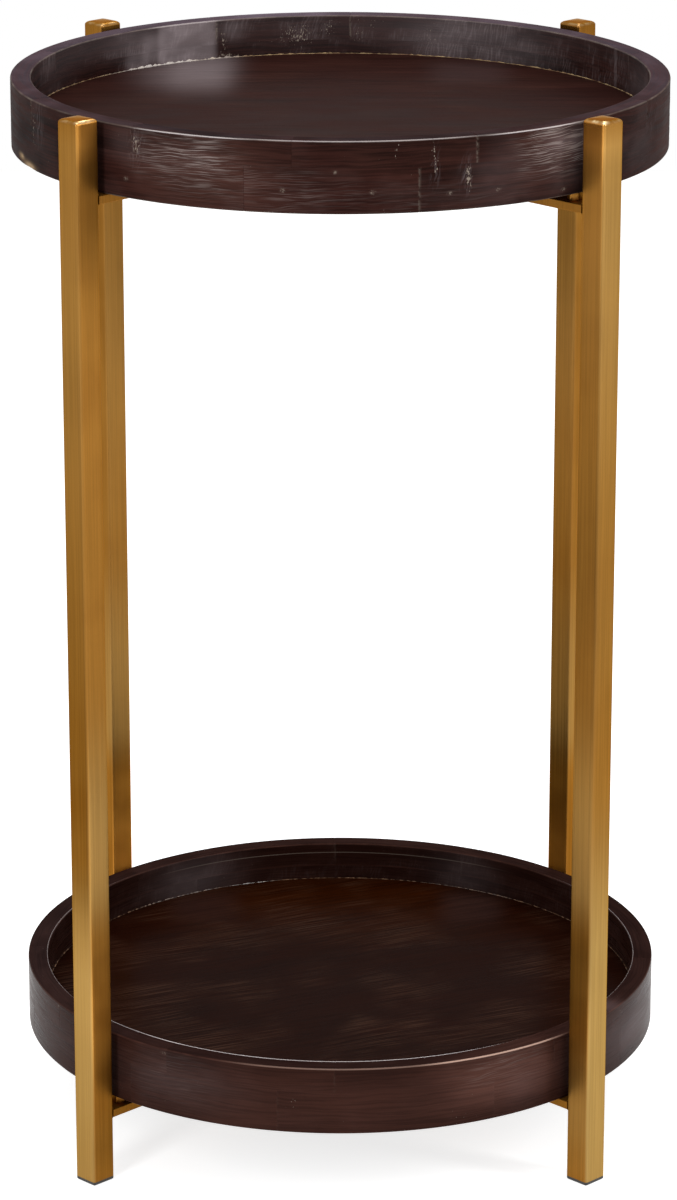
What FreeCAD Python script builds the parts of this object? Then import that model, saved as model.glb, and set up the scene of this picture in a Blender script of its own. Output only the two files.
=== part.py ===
import FreeCAD, Part
import math
import os

# A round side table with two tray tiers on four square tube legs.
#
# The steel is two welded frames. Each frame is two legs joined by a flat bar under each
# tray. The inner frame's bars lie between the outer frame's bars, so one frame slips inside
# the other, the bars cross at the middle of each tier, and one screw there holds the two
# frames together. Each tray is a turned ring of glued wooden staves, laid in two courses
# with staggered joints, round a plywood floor whose tongue sits in a groove. Screws hold
# each tray from below at the four ends of its bars, and a hexagonal spacer fills the gap
# over the lower bar of the pair.
#
# Millimetres, +Z up. The origin is on the ground, midway between the four legs. The front
# is -Y, and azimuths are counted from +X towards +Y.

# ---- The whole table ----
TABLE_HEIGHT = 635.0
LEG_RISE = 3.3               # how far the legs stand above the top tray's rim
BOTTOM_TRAY_BASE = 49.0      # ground to the underside of the bottom tray

# ---- Trays ----
TRAY_RADIUS = 190.5
TRAY_HEIGHT = 40.5
RIM_WALL = 12.0
RIM_EASE = 0.8               # bevel that breaks the rim's open edges
UPPER_COURSE_HEIGHT = 15.0
FLOOR_THICKNESS = 9.0
FLOOR_WALL_GAP = 0.2         # between the floor's top face and the rim, all round
GROOVE_WALL_SHARE = 0.25     # how much of the rim's wall the floor groove takes
TONGUE_DROP = 3.0            # the floor's edge is rebated this deep, to a tongue in the groove
TONGUE_CLEARANCE = 0.25      # between the tongue's edge and the bottom of the groove

# Azimuths of the glue joints, in degrees. The staves are cut from offcuts, so their lengths
# differ, and no joint of one course lies over a joint of the other or beside a screw.
UPPER_JOINTS = (18, 53, 88, 115, 160, 204, 233, 262, 293, 335)
LOWER_JOINTS = (30, 64, 100, 145, 180, 218, 254, 283, 322, 355)
BOTTOM_TRAY_TURN = -24.0     # the bottom tray's joints, against the top tray's

# ---- Legs ----
LEG_PLACES = ("back_right", "back_left", "front_left", "front_right")
FIRST_LEG_AZIMUTH = 45.0     # degrees; the other legs follow at equal angles
LEG_SIDE = 16.0
LEG_WALL = 1.2
LEG_CORNER_RADIUS = 1.5
LEG_TO_RIM_GAP = 5.5
CAP_THICKNESS = 2.5
CAP_EDGE_SHARPER = 0.1       # how much less the cap's top edges are rounded than the corners

# ---- Foot plugs ----
PLUG_FLANGE_THICKNESS = 2.0
PLUG_FLANGE_EASE = 0.6
PLUG_CLEARANCE = 0.05        # between the plug's fins and the inside of the leg
PLUG_DEPTH = 13.0
PLUG_FIN_REACH = 1.1         # how far the fins stand out of the plug's stem
PLUG_FIN_THICKNESS = 1.0
PLUG_FIN_COUNT = 2
PLUG_STEM_WALL = 1.5

# ---- Crossing bars ----
BAR_WIDTH = 16.0
BAR_THICKNESS = 5.0
BAR_EDGE_RADIUS = 0.5
WELD_SIZE = 2.0              # leg length of the fillet welds where a bar meets a leg

# ---- Screws that hold the trays ----
TRAY_SCREW_RADIUS = 2.0
TRAY_SCREW_HEAD_RADIUS = 3.9
TRAY_SCREW_HEAD_HEIGHT = 2.4
TRAY_SCREW_BITE = 18.0       # length that goes into the rim
TRAY_SCREW_TIP = 3.0
SPACER_ACROSS_FLATS = 8.0

# ---- Screws that hold the two frames together ----
CENTRE_SCREW_RADIUS = 2.5
CENTRE_HEAD_RADIUS = 4.8
CENTRE_HEAD_HEIGHT = 2.8
CENTRE_NUT_ACROSS_FLATS = 8.0
CENTRE_NUT_HEIGHT = 4.0
CENTRE_WASHER_RADIUS = 5.0
CENTRE_WASHER_THICKNESS = 1.0
CENTRE_SCREW_STANDOUT = 0.8  # screw end above its nut
CENTRE_HEADROOM = 2.1        # from the screw's end up to the floor panel

HOLE_CLEARANCE = 0.1         # radial, between every screw and its hole

# ---- What follows from them ----
RIM_INNER_RADIUS = TRAY_RADIUS - RIM_WALL
GROOVE_RADIUS = RIM_INNER_RADIUS + RIM_WALL * GROOVE_WALL_SHARE
FLOOR_RADIUS = RIM_INNER_RADIUS - FLOOR_WALL_GAP
TONGUE_RADIUS = GROOVE_RADIUS - TONGUE_CLEARANCE
LOWER_COURSE_HEIGHT = TRAY_HEIGHT - UPPER_COURSE_HEIGHT
CENTRE_STACK = CENTRE_WASHER_THICKNESS + CENTRE_NUT_HEIGHT + CENTRE_SCREW_STANDOUT
FLOOR_UNDERSIDE = CENTRE_STACK + CENTRE_HEADROOM
FLOOR_TOP = FLOOR_UNDERSIDE + FLOOR_THICKNESS
TONGUE_TOP = FLOOR_TOP - TONGUE_DROP
TOP_TRAY_BASE = TABLE_HEIGHT - LEG_RISE - TRAY_HEIGHT
BAR_HALF_LENGTH = TRAY_RADIUS + LEG_TO_RIM_GAP
LEG_CIRCLE = BAR_HALF_LENGTH + LEG_SIDE / 2
LEG_BORE = LEG_SIDE - 2 * LEG_WALL
CAP_EDGE_RADIUS = LEG_CORNER_RADIUS - CAP_EDGE_SHARPER
SCREW_CIRCLE = TRAY_RADIUS - RIM_WALL / 2

LEG_AZIMUTHS = {
    place: FIRST_LEG_AZIMUTH + index * 360 / len(LEG_PLACES)
    for index, place in enumerate(LEG_PLACES)
}
OUTER_FRAME_AZIMUTH = LEG_AZIMUTHS["back_right"]
INNER_FRAME_AZIMUTH = LEG_AZIMUTHS["back_left"]

# Each frame's bars: how many bar thicknesses their top face lies below the tray's underside.
BARS = {
    "outer_frame_top_bar": (OUTER_FRAME_AZIMUTH, TOP_TRAY_BASE, 0),
    "inner_frame_top_bar": (INNER_FRAME_AZIMUTH, TOP_TRAY_BASE, 1),
    "inner_frame_bottom_bar": (INNER_FRAME_AZIMUTH, BOTTOM_TRAY_BASE, 0),
    "outer_frame_bottom_bar": (OUTER_FRAME_AZIMUTH, BOTTOM_TRAY_BASE, 1),
}
TRAYS = {"top": (TOP_TRAY_BASE, 0.0), "bottom": (BOTTOM_TRAY_BASE, BOTTOM_TRAY_TURN)}

SAME_HEIGHT = 1e-6           # two heights closer than this are the same
ORIGIN = FreeCAD.Vector(0, 0, 0)
UP = FreeCAD.Vector(0, 0, 1)


# ---- Helpers ----

def flat(u, v):
    """A profile point in the ground plane."""
    return FreeCAD.Vector(u, v, 0)


def upright(u, v):
    """A profile point in the XZ plane."""
    return FreeCAD.Vector(u, 0, v)


def rounded_face(corners, plane):
    """The face inside (u, v, radius) corners, each corner rounded by its radius."""
    ends = []
    for index, (u, v, radius) in enumerate(corners):
        corner = FreeCAD.Vector(u, v, 0)
        before = FreeCAD.Vector(*corners[index - 1][:2], 0) - corner
        after = FreeCAD.Vector(*corners[(index + 1) % len(corners)][:2], 0) - corner
        before.normalize()
        after.normalize()
        half_angle = before.getAngle(after) / 2
        reach = radius / math.tan(half_angle)
        inward = (before + after).normalize()
        middle = corner + inward * (radius / math.sin(half_angle) - radius)
        ends.append((corner + before * reach, middle, corner + after * reach, radius))
    edges = []
    for index, (start, middle, end, radius) in enumerate(ends):
        previous_end = ends[index - 1][2]
        edges.append(Part.LineSegment(plane(*previous_end[:2]), plane(*start[:2])).toShape())
        if radius > 0:
            arc = Part.Arc(plane(*start[:2]), plane(*middle[:2]), plane(*end[:2]))
            edges.append(arc.toShape())
    return Part.Face(Part.Wire(edges))


def polygon_face(points):
    """The upright face inside (x, z) points, to be turned about the Z axis."""
    ring = [upright(x, z) for x, z in points]
    return Part.Face(Part.makePolygon(ring + ring[:1]))


def square_prism(side, corner_radius, height, base):
    """An upright square bar with rounded corners, centred on the Z axis."""
    half = side / 2
    signs = ((-1, -1), (1, -1), (1, 1), (-1, 1))
    face = rounded_face([(x * half, y * half, corner_radius) for x, y in signs], flat)
    prism = face.extrude(UP * height)
    prism.translate(UP * base)
    return prism


def hexagon_prism(across_flats, height, base):
    """An upright hexagonal bar, centred on the Z axis."""
    turns = [math.radians(60 * k) for k in range(6)]
    corner = across_flats / 2 / math.cos(math.radians(30))
    face = rounded_face([(corner * math.cos(t), corner * math.sin(t), 0) for t in turns], flat)
    prism = face.extrude(UP * height)
    prism.translate(UP * base)
    return prism


def cylinder(radius, height, base):
    return Part.makeCylinder(radius, height, UP * base)


def edges_at_height(shape, height):
    """The edges of a shape that lie flat at one height."""
    flat_edges = []
    for edge in shape.Edges:
        box = edge.BoundBox
        if abs(box.ZMin - height) < SAME_HEIGHT and abs(box.ZMax - height) < SAME_HEIGHT:
            flat_edges.append(edge)
    return flat_edges


def countersunk(radius, head_radius, head_height, length, tip):
    """A countersunk screw that points up, its head flush at z = 0."""
    points = [(0, 0), (head_radius, 0), (radius, head_height), (radius, length - tip), (0, length)]
    return polygon_face(points).revolve(ORIGIN, UP, 360)


def moved(shape, along_x=0.0, z=0.0, azimuth=0.0):
    """A copy moved out along X, lifted, then turned about the table's axis."""
    copy = shape.copy()
    copy.translate(FreeCAD.Vector(along_x, 0, z))
    copy.rotate(ORIGIN, UP, azimuth)
    return copy


def at_both_ends(shape, distance, z, azimuth):
    """Two copies, at the two ends of a bar."""
    return [moved(shape, distance, z, azimuth + turn) for turn in (0, 180)]


# ---- Trays ----

def upper_course_profile():
    """The upper course, its two top edges bevelled."""
    return polygon_face([
        (RIM_INNER_RADIUS, LOWER_COURSE_HEIGHT),
        (TRAY_RADIUS, LOWER_COURSE_HEIGHT),
        (TRAY_RADIUS, TRAY_HEIGHT - RIM_EASE),
        (TRAY_RADIUS - RIM_EASE, TRAY_HEIGHT),
        (RIM_INNER_RADIUS + RIM_EASE, TRAY_HEIGHT),
        (RIM_INNER_RADIUS, TRAY_HEIGHT - RIM_EASE),
    ])


def lower_course_profile():
    """The lower course, with the groove that holds the floor panel's tongue."""
    return polygon_face([
        (RIM_INNER_RADIUS, 0),
        (TRAY_RADIUS - RIM_EASE, 0),
        (TRAY_RADIUS, RIM_EASE),
        (TRAY_RADIUS, LOWER_COURSE_HEIGHT),
        (RIM_INNER_RADIUS, LOWER_COURSE_HEIGHT),
        (RIM_INNER_RADIUS, TONGUE_TOP),
        (GROOVE_RADIUS, TONGUE_TOP),
        (GROOVE_RADIUS, FLOOR_UNDERSIDE),
        (RIM_INNER_RADIUS, FLOOR_UNDERSIDE),
    ])


def floor_panel():
    """The floor, its edge rebated to a tongue that fills the groove."""
    return polygon_face([
        (0, FLOOR_UNDERSIDE),
        (TONGUE_RADIUS, FLOOR_UNDERSIDE),
        (TONGUE_RADIUS, TONGUE_TOP),
        (FLOOR_RADIUS, TONGUE_TOP),
        (FLOOR_RADIUS, FLOOR_TOP),
        (0, FLOOR_TOP),
    ]).revolve(ORIGIN, UP, 360)


def course(profile, joints, turn, base):
    """One course of a rim: a stave from each glue joint to the next."""
    staves = []
    for index, joint in enumerate(joints):
        sweep = (joints[(index + 1) % len(joints)] - joint) % 360
        stave = profile.revolve(ORIGIN, UP, sweep)
        staves.append(moved(stave, z=base, azimuth=joint + turn))
    return staves


def screw_holes(base):
    """The four pilot holes in the underside of a tray."""
    hole = cylinder(TRAY_SCREW_RADIUS + HOLE_CLEARANCE, TRAY_SCREW_BITE, 0)
    return [moved(hole, SCREW_CIRCLE, base, azimuth) for azimuth in LEG_AZIMUTHS.values()]


def drilled(staves, holes):
    """The staves, each cut by the holes that run into it."""
    result = []
    for stave in staves:
        reached = [hole for hole in holes if stave.common(hole).Volume > 0]
        result.append(stave.cut(reached).Solids[0] if reached else stave)
    return result


def tray_nodes(tier):
    base, turn = TRAYS[tier]
    lower = course(lower_course_profile(), LOWER_JOINTS, turn, base)
    return {
        tier + "_rim_upper_course": course(upper_course_profile(), UPPER_JOINTS, turn, base),
        tier + "_rim_lower_course": drilled(lower, screw_holes(base)),
        tier + "_floor_panel": [moved(floor_panel(), z=base)],
    }


# ---- Legs, their caps and their foot plugs ----

def leg_tube():
    length = TABLE_HEIGHT - CAP_THICKNESS - PLUG_FLANGE_THICKNESS
    outside = square_prism(LEG_SIDE, LEG_CORNER_RADIUS, length, PLUG_FLANGE_THICKNESS)
    inside = square_prism(LEG_BORE, 0, length, PLUG_FLANGE_THICKNESS)
    return outside.cut(inside)


def leg_cap():
    """The plate welded over the leg's top end, with its upper edges ground round."""
    plate = square_prism(LEG_SIDE, LEG_CORNER_RADIUS, CAP_THICKNESS, TABLE_HEIGHT - CAP_THICKNESS)
    return plate.makeFillet(CAP_EDGE_RADIUS, edges_at_height(plate, TABLE_HEIGHT))


def foot_plug():
    """A moulded glide: a flange under the leg, and a hollow finned stem inside it."""
    flange = square_prism(LEG_SIDE, LEG_CORNER_RADIUS, PLUG_FLANGE_THICKNESS, 0)
    flange = flange.makeChamfer(PLUG_FLANGE_EASE, edges_at_height(flange, 0))
    fin_side = LEG_BORE - 2 * PLUG_CLEARANCE
    stem_side = fin_side - 2 * PLUG_FIN_REACH
    base = PLUG_FLANGE_THICKNESS
    stem = square_prism(stem_side, 0, PLUG_DEPTH, base)
    hollow = square_prism(stem_side - 2 * PLUG_STEM_WALL, 0, PLUG_DEPTH, base)
    pitch = PLUG_DEPTH / PLUG_FIN_COUNT
    fins = []
    for index in range(PLUG_FIN_COUNT):
        fin_base = base + (index + 0.5) * pitch
        fins.append(square_prism(fin_side, 0, PLUG_FIN_THICKNESS, fin_base))
    return flange.fuse([stem] + fins).cut(hollow).removeSplitter().Solids[0]


def leg_nodes():
    nodes = {}
    for place, azimuth in LEG_AZIMUTHS.items():
        nodes["leg_" + place] = [moved(leg_tube(), LEG_CIRCLE, 0, azimuth)]
        nodes["leg_cap_" + place] = [moved(leg_cap(), LEG_CIRCLE, 0, azimuth)]
        nodes["foot_plug_" + place] = [moved(foot_plug(), LEG_CIRCLE, 0, azimuth)]
    return nodes


# ---- Crossing bars and their welds ----

def bar_underside(tray_base, layer):
    return tray_base - (layer + 1) * BAR_THICKNESS


def flat_bar(layer):
    """A bar along X, underside at z = 0; layer 1 is the lower bar of a crossing pair."""
    half_width = BAR_WIDTH / 2
    outline = rounded_face([
        (-half_width, 0, BAR_EDGE_RADIUS),
        (half_width, 0, BAR_EDGE_RADIUS),
        (half_width, BAR_THICKNESS, BAR_EDGE_RADIUS),
        (-half_width, BAR_THICKNESS, BAR_EDGE_RADIUS),
    ], lambda u, v: FreeCAD.Vector(-BAR_HALF_LENGTH, u, v))
    bar = outline.extrude(FreeCAD.Vector(2 * BAR_HALF_LENGTH, 0, 0))
    end_hole = tray_screw(BAR_THICKNESS + TRAY_SCREW_BITE, HOLE_CLEARANCE)
    holes = at_both_ends(end_hole, SCREW_CIRCLE, 0, 0)
    if layer == 1:
        holes.append(centre_screw(HOLE_CLEARANCE))
    else:
        holes.append(cylinder(CENTRE_SCREW_RADIUS + HOLE_CLEARANCE, BAR_THICKNESS, 0))
    return bar.cut(holes)


def fillet_weld(side):
    """A weld bead across a bar's end; side is 1 over the bar and -1 under it."""
    length = BAR_WIDTH - 2 * BAR_EDGE_RADIUS
    face_x = BAR_HALF_LENGTH
    root = BAR_THICKNESS if side > 0 else 0.0
    hollow = WELD_SIZE * (1 - math.sqrt(0.5))
    corner = upright(face_x, root)
    on_leg = upright(face_x, root + side * WELD_SIZE)
    on_bar = upright(face_x - WELD_SIZE, root)
    middle = upright(face_x - hollow, root + side * hollow)
    edges = [
        Part.LineSegment(on_bar, corner).toShape(),
        Part.LineSegment(corner, on_leg).toShape(),
        Part.Arc(on_leg, middle, on_bar).toShape(),
    ]
    bead = Part.Face(Part.Wire(edges)).extrude(FreeCAD.Vector(0, length, 0))
    bead.translate(FreeCAD.Vector(0, -length / 2, 0))
    return bead


def frame_nodes():
    nodes = {"outer_frame_welds": [], "inner_frame_welds": []}
    for name, (azimuth, tray_base, layer) in BARS.items():
        underside = bar_underside(tray_base, layer)
        nodes[name] = [moved(flat_bar(layer), z=underside, azimuth=azimuth)]
        welds = nodes[name.split("_")[0] + "_frame_welds"]
        for side in (1, -1):
            welds += at_both_ends(fillet_weld(side), 0, underside, azimuth)
    return nodes


# ---- Screws, spacers, nuts and washers ----

def tray_screw(length, extra=0.0):
    """A countersunk wood screw, or with extra the hole that it goes through."""
    return countersunk(TRAY_SCREW_RADIUS + extra, TRAY_SCREW_HEAD_RADIUS + extra,
                       TRAY_SCREW_HEAD_HEIGHT, length, TRAY_SCREW_TIP)


def centre_screw(extra=0.0):
    """The countersunk machine screw through both bars of a crossing."""
    return countersunk(CENTRE_SCREW_RADIUS + extra, CENTRE_HEAD_RADIUS + extra,
                       CENTRE_HEAD_HEIGHT, 2 * BAR_THICKNESS + CENTRE_STACK, 0)


def spacer():
    """The hexagonal spacer between the lower bar of a pair and the tray."""
    hole = cylinder(TRAY_SCREW_RADIUS + HOLE_CLEARANCE, BAR_THICKNESS, 0)
    return hexagon_prism(SPACER_ACROSS_FLATS, BAR_THICKNESS, 0).cut(hole)


def tier_fastener_nodes(tier):
    base = TRAYS[tier][0]
    nodes = {}
    for azimuth, tray_base, layer in BARS.values():
        if tray_base != base:
            continue
        underside = bar_underside(base, layer)
        screw = tray_screw((layer + 1) * BAR_THICKNESS + TRAY_SCREW_BITE)
        length_name = ("short", "long")[layer]
        nodes[tier + "_tray_screws_" + length_name] = at_both_ends(
            screw, SCREW_CIRCLE, underside, azimuth)
        if layer == 1:
            nodes[tier + "_tray_spacers"] = at_both_ends(
                spacer(), SCREW_CIRCLE, underside + BAR_THICKNESS, azimuth)
            nodes[tier + "_centre_screw"] = [moved(centre_screw(), z=underside, azimuth=azimuth)]
    hole = cylinder(CENTRE_SCREW_RADIUS + HOLE_CLEARANCE, CENTRE_STACK, base)
    washer = cylinder(CENTRE_WASHER_RADIUS, CENTRE_WASHER_THICKNESS, base)
    nut = hexagon_prism(CENTRE_NUT_ACROSS_FLATS, CENTRE_NUT_HEIGHT, base + CENTRE_WASHER_THICKNESS)
    nodes[tier + "_centre_washer"] = [washer.cut(hole)]
    nodes[tier + "_centre_nut"] = [nut.cut(hole)]
    return nodes


# ---- The table ----

def all_nodes():
    nodes = {}
    for tier in TRAYS:
        nodes.update(tray_nodes(tier))
    nodes.update(leg_nodes())
    nodes.update(frame_nodes())
    for tier in TRAYS:
        nodes.update(tier_fastener_nodes(tier))
    return nodes


def export(nodes):
    os.makedirs("parts", exist_ok=True)
    for name, solids in nodes.items():
        shape = solids[0] if len(solids) == 1 else Part.makeCompound(solids)
        if not shape.isValid():
            raise ValueError(name + " isn't a valid solid")
        shape.exportStep("parts/" + name + ".step")
        print(name, len(shape.Solids), "solids", round(shape.Volume, 1), "mm3")


export(all_nodes())
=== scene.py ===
# %% [markdown]
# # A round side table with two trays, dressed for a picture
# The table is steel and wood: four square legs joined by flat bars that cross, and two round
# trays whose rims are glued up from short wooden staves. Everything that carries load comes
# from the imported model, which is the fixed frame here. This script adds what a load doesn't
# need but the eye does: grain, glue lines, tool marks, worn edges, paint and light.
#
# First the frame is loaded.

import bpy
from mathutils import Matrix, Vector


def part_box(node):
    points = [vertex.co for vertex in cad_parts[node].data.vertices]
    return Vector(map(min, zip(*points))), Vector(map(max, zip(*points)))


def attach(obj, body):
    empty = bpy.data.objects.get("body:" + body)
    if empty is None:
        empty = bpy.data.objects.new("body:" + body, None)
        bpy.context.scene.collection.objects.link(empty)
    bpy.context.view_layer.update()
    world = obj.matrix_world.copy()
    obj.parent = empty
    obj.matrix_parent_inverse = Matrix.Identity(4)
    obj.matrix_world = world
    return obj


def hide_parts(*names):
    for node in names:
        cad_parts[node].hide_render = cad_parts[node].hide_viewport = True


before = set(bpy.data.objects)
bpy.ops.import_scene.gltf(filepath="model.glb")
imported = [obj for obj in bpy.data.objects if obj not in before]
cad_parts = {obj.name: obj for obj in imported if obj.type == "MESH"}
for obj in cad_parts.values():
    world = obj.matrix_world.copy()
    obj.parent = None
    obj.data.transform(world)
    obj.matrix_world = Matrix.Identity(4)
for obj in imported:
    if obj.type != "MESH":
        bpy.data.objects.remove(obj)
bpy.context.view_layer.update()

import math
import random

import bmesh
import bpy
from mathutils import Matrix, Vector, noise

# %% [markdown]
# ## Sizes
# A dressed piece has to land exactly on the solid that it stands for. The safest way is to
# read its place from the frame and to type only what a box can't tell, such as the thickness
# of a wall. Blender works in metres, so sizes in millimetres are multiplied by MM.

# %% Read the sizes that the pieces share
MM = 0.001
TIERS = ("top", "bottom")
LEGS = ("front_left", "front_right", "back_right", "back_left")


def low(node, axis=2):
    return round(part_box(node)[0][axis], 5)


def high(node, axis=2):
    return round(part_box(node)[1][axis], 5)


tray_radius = high("top_rim_upper_course", 0)
rim_wall = 12 * MM
rim_rounding = 0.9 * MM
inner_radius = tray_radius - rim_wall
groove_radius = inner_radius + rim_wall / 4
tongue_drop = 3 * MM
tongue_radius = high("top_floor_panel", 0)
floor_radius = inner_radius - 0.2 * MM
levels = {tier: {
    "base": low(tier + "_rim_lower_course"),
    "seam": high(tier + "_rim_lower_course"),
    "rim_top": high(tier + "_rim_upper_course"),
    "floor_under": low(tier + "_floor_panel"),
    "floor_top": high(tier + "_floor_panel"),
} for tier in TIERS}
table_height = high("leg_cap_front_left")
print("tray radius", tray_radius, "table height", table_height, "levels", levels)

# %% [markdown]
# ## Helpers for node trees
# Materials and Geometry Nodes are both graphs of nodes and links. Typed out one link at a
# time, a graph is long and hard to follow. Here it is written like a formula instead: a Wire
# is one output of a node, and a sign between wires and numbers adds a Math node. A Graph adds
# the other nodes: each call takes numbers or wires and hands back the new node's outputs.

# %% Wires that can be reckoned with


class Wire:
    """One output of a node. Each sign between wires and numbers adds a Math node."""

    def __init__(self, graph, socket):
        self.graph, self.socket = graph, socket

    def __add__(self, other):
        return self.graph.maths("ADD", self, other)

    def __sub__(self, other):
        return self.graph.maths("SUBTRACT", self, other)

    def __rsub__(self, other):
        return self.graph.maths("SUBTRACT", other, self)

    def __mul__(self, other):
        return self.graph.maths("MULTIPLY", self, other)

    def __truediv__(self, other):
        return self.graph.maths("DIVIDE", self, other)

    def __rtruediv__(self, other):
        return self.graph.maths("DIVIDE", other, self)

    def __abs__(self):
        return self.graph.maths("ABSOLUTE", self)

    __radd__, __rmul__ = __add__, __mul__

    def clamped(self):
        """Holds the last sum or product between 0 and 1."""
        self.socket.node.use_clamp = True
        return self


# %% Graphs of nodes


class Graph:
    """A node tree. Calls that add a node hand back its outputs, as wires."""

    def __init__(self, tree):
        self.tree = tree

    def feed(self, node, inputs):
        """Sets inputs, by name or number, to values or links them to wires."""
        for key, value in inputs.items():
            if isinstance(value, Wire):
                self.tree.links.new(value.socket, node.inputs[key])
            else:
                node.inputs[key].default_value = value

    def wires(self, node):
        """A node's outputs, by name and by number."""
        wires = [Wire(self, socket) for socket in node.outputs]
        return {**{wire.socket.name: wire for wire in reversed(wires)}, **dict(enumerate(wires))}

    def add(self, kind, inputs=None, **settings):
        node = self.tree.nodes.new(kind)
        for name, value in settings.items():
            setattr(node, name, value)
        self.feed(node, inputs or {})
        return self.wires(node)

    def maths(self, operation, *values):
        return self.add("ShaderNodeMath", dict(enumerate(values)), operation=operation)[0]

    def largest(self, first, *others):
        for other in others:
            first = self.maths("MAXIMUM", first, other)
        return first

    def vector(self, x=0.0, y=0.0, z=0.0):
        return self.add("ShaderNodeCombineXYZ", {"X": x, "Y": y, "Z": z})[0]

    def parts(self, place):
        wires = self.add("ShaderNodeSeparateXYZ", {0: place})
        return wires[0], wires[1], wires[2]

    def remap(self, value, from_low, from_high, to_low=0.0, to_high=1.0):
        """A smooth step of value from one range to another, held at both ends."""
        inputs = {"Value": value, "From Min": from_low, "From Max": from_high,
                  "To Min": to_low, "To Max": to_high}
        return self.add("ShaderNodeMapRange", inputs, interpolation_type="SMOOTHSTEP")[0]

    def mix(self, share, first, second):
        return self.add("ShaderNodeMix", {0: share, 6: first, 7: second}, data_type="RGBA")[2]

    def cloud(self, place, detail=2.0, scale=1.0, distortion=0.0):
        """Fractal noise between 0 and 1, mostly between 0.3 and 0.7."""
        inputs = {"Vector": place, "Scale": scale, "Detail": detail, "Distortion": distortion}
        return self.add("ShaderNodeTexNoise", inputs)[0]

    def stretched(self, along, across, length, width, seed, detail=2.0):
        """A cloud whose patches have about this length and width."""
        return self.cloud(self.vector(along / length, across / width, seed), detail)

    def metres(self):
        return self.add("ShaderNodeTexCoord")["Object"]

    def attribute(self, name):
        return self.add("ShaderNodeAttribute", attribute_name=name)["Fac"]

    def group(self, tree, inputs):
        return self.add("ShaderNodeGroup", inputs, node_tree=tree)

    def bump(self, height, strength, distance):
        return self.add("ShaderNodeBump", {"Height": height, "Strength": strength,
                                           "Distance": distance})[0]


def new_group(name, kind, inputs, outputs):
    """A group's graph, inputs and output node. Inputs are name: (type, default)."""
    tree = bpy.data.node_groups.new(name, kind)
    for title, (socket_type, default) in inputs.items():
        socket = tree.interface.new_socket(title, in_out="INPUT", socket_type=socket_type)
        if default is not None:
            socket.default_value = default
    for title, socket_type in outputs.items():
        tree.interface.new_socket(title, in_out="OUTPUT", socket_type=socket_type)
    graph = Graph(tree)
    return graph, graph.add("NodeGroupInput"), tree.nodes.new("NodeGroupOutput")


def new_material(name):
    """A material, its graph and its shader node."""
    material = bpy.data.materials.new(name)
    material.use_nodes = True
    return material, Graph(material.node_tree), material.node_tree.nodes["Principled BSDF"]


FLOAT, VECTOR, OBJECT = "NodeSocketFloat", "NodeSocketVector", "NodeSocketObject"
GEOMETRY, MATERIAL = "NodeSocketGeometry", "NodeSocketMaterial"
print("node helpers ready")

# %% [markdown]
# ## Shared finishes, as node groups
# Four effects appear in more than one material, so each is a node group with its own named
# inputs. Grain is noise stretched along the wood: the lengths along and across come in as
# metres, and dividing them by a long and a short size makes streaks. A slow second noise
# bends the streaks, as grain does near a knot.

# %% Group: timber grain
graph, given, result = new_group("timber_grain", "ShaderNodeTree", {
    "Along": (FLOAT, 0.0), "Across": (FLOAT, 0.0), "Streak length": (FLOAT, 40 * MM),
    "Streak width": (FLOAT, 1.2 * MM), "Wander": (FLOAT, 1.5 * MM), "Seed": (FLOAT, 0.0),
}, {"Streak": FLOAT, "Pores": FLOAT, "Blotch": FLOAT})
timber_grain = graph.tree
along, across, seed = given["Along"], given["Across"], given["Seed"]
slow = graph.stretched(along, across, 45 * MM, 18 * MM, seed)
bent = across + (slow - 0.5) * given["Wander"] * 4.0
streak_x, streak_y = along / given["Streak length"], bent / given["Streak width"]
streak = graph.cloud(graph.vector(streak_x, streak_y, seed), 4.0)
pores = graph.cloud(graph.vector(streak_x * 6.0, streak_y * 2.6, seed))
blotch = graph.stretched(along, across, 60 * MM, 22 * MM, seed + 9.0, 3.0)
graph.feed(result, {"Streak": graph.remap(streak, 0.36, 0.64), "Pores": graph.remap(pores, 0.6, 0.68),
                    "Blotch": graph.remap(blotch, 0.32, 0.68)})
print(timber_grain.name, len(timber_grain.nodes), "nodes")

# %% [markdown]
# Specks are the pits and crumbs that a dark stain leaves pale. Noise that is cut off high
# leaves scattered islands, and lowering the cut where an amount is large crowds them into a
# cluster. The same group, with another size and cut, makes dust on the paint.

# %% Group: pale specks
graph, given, result = new_group("pale_specks", "ShaderNodeTree", {
    "Place": (VECTOR, None), "Size": (FLOAT, 0.8), "Amount": (FLOAT, 0.0), "Rarity": (FLOAT, 0.16),
}, {"Mask": FLOAT})
pale_specks = graph.tree
fine = graph.cloud(given["Place"], 2.0, 1.0 / given["Size"])
cut = given["Rarity"] + 0.62 - given["Amount"] * 0.26
graph.feed(result, {"Mask": graph.remap(fine - cut, 0.0, 0.05)})
print(pale_specks.name, len(pale_specks.nodes), "nodes")

# %% [markdown]
# Hairline scratches are long, very thin streaks, all in nearly one direction. They are the
# grain trick again with a far thinner streak and a high cut, turned by an angle.

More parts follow.
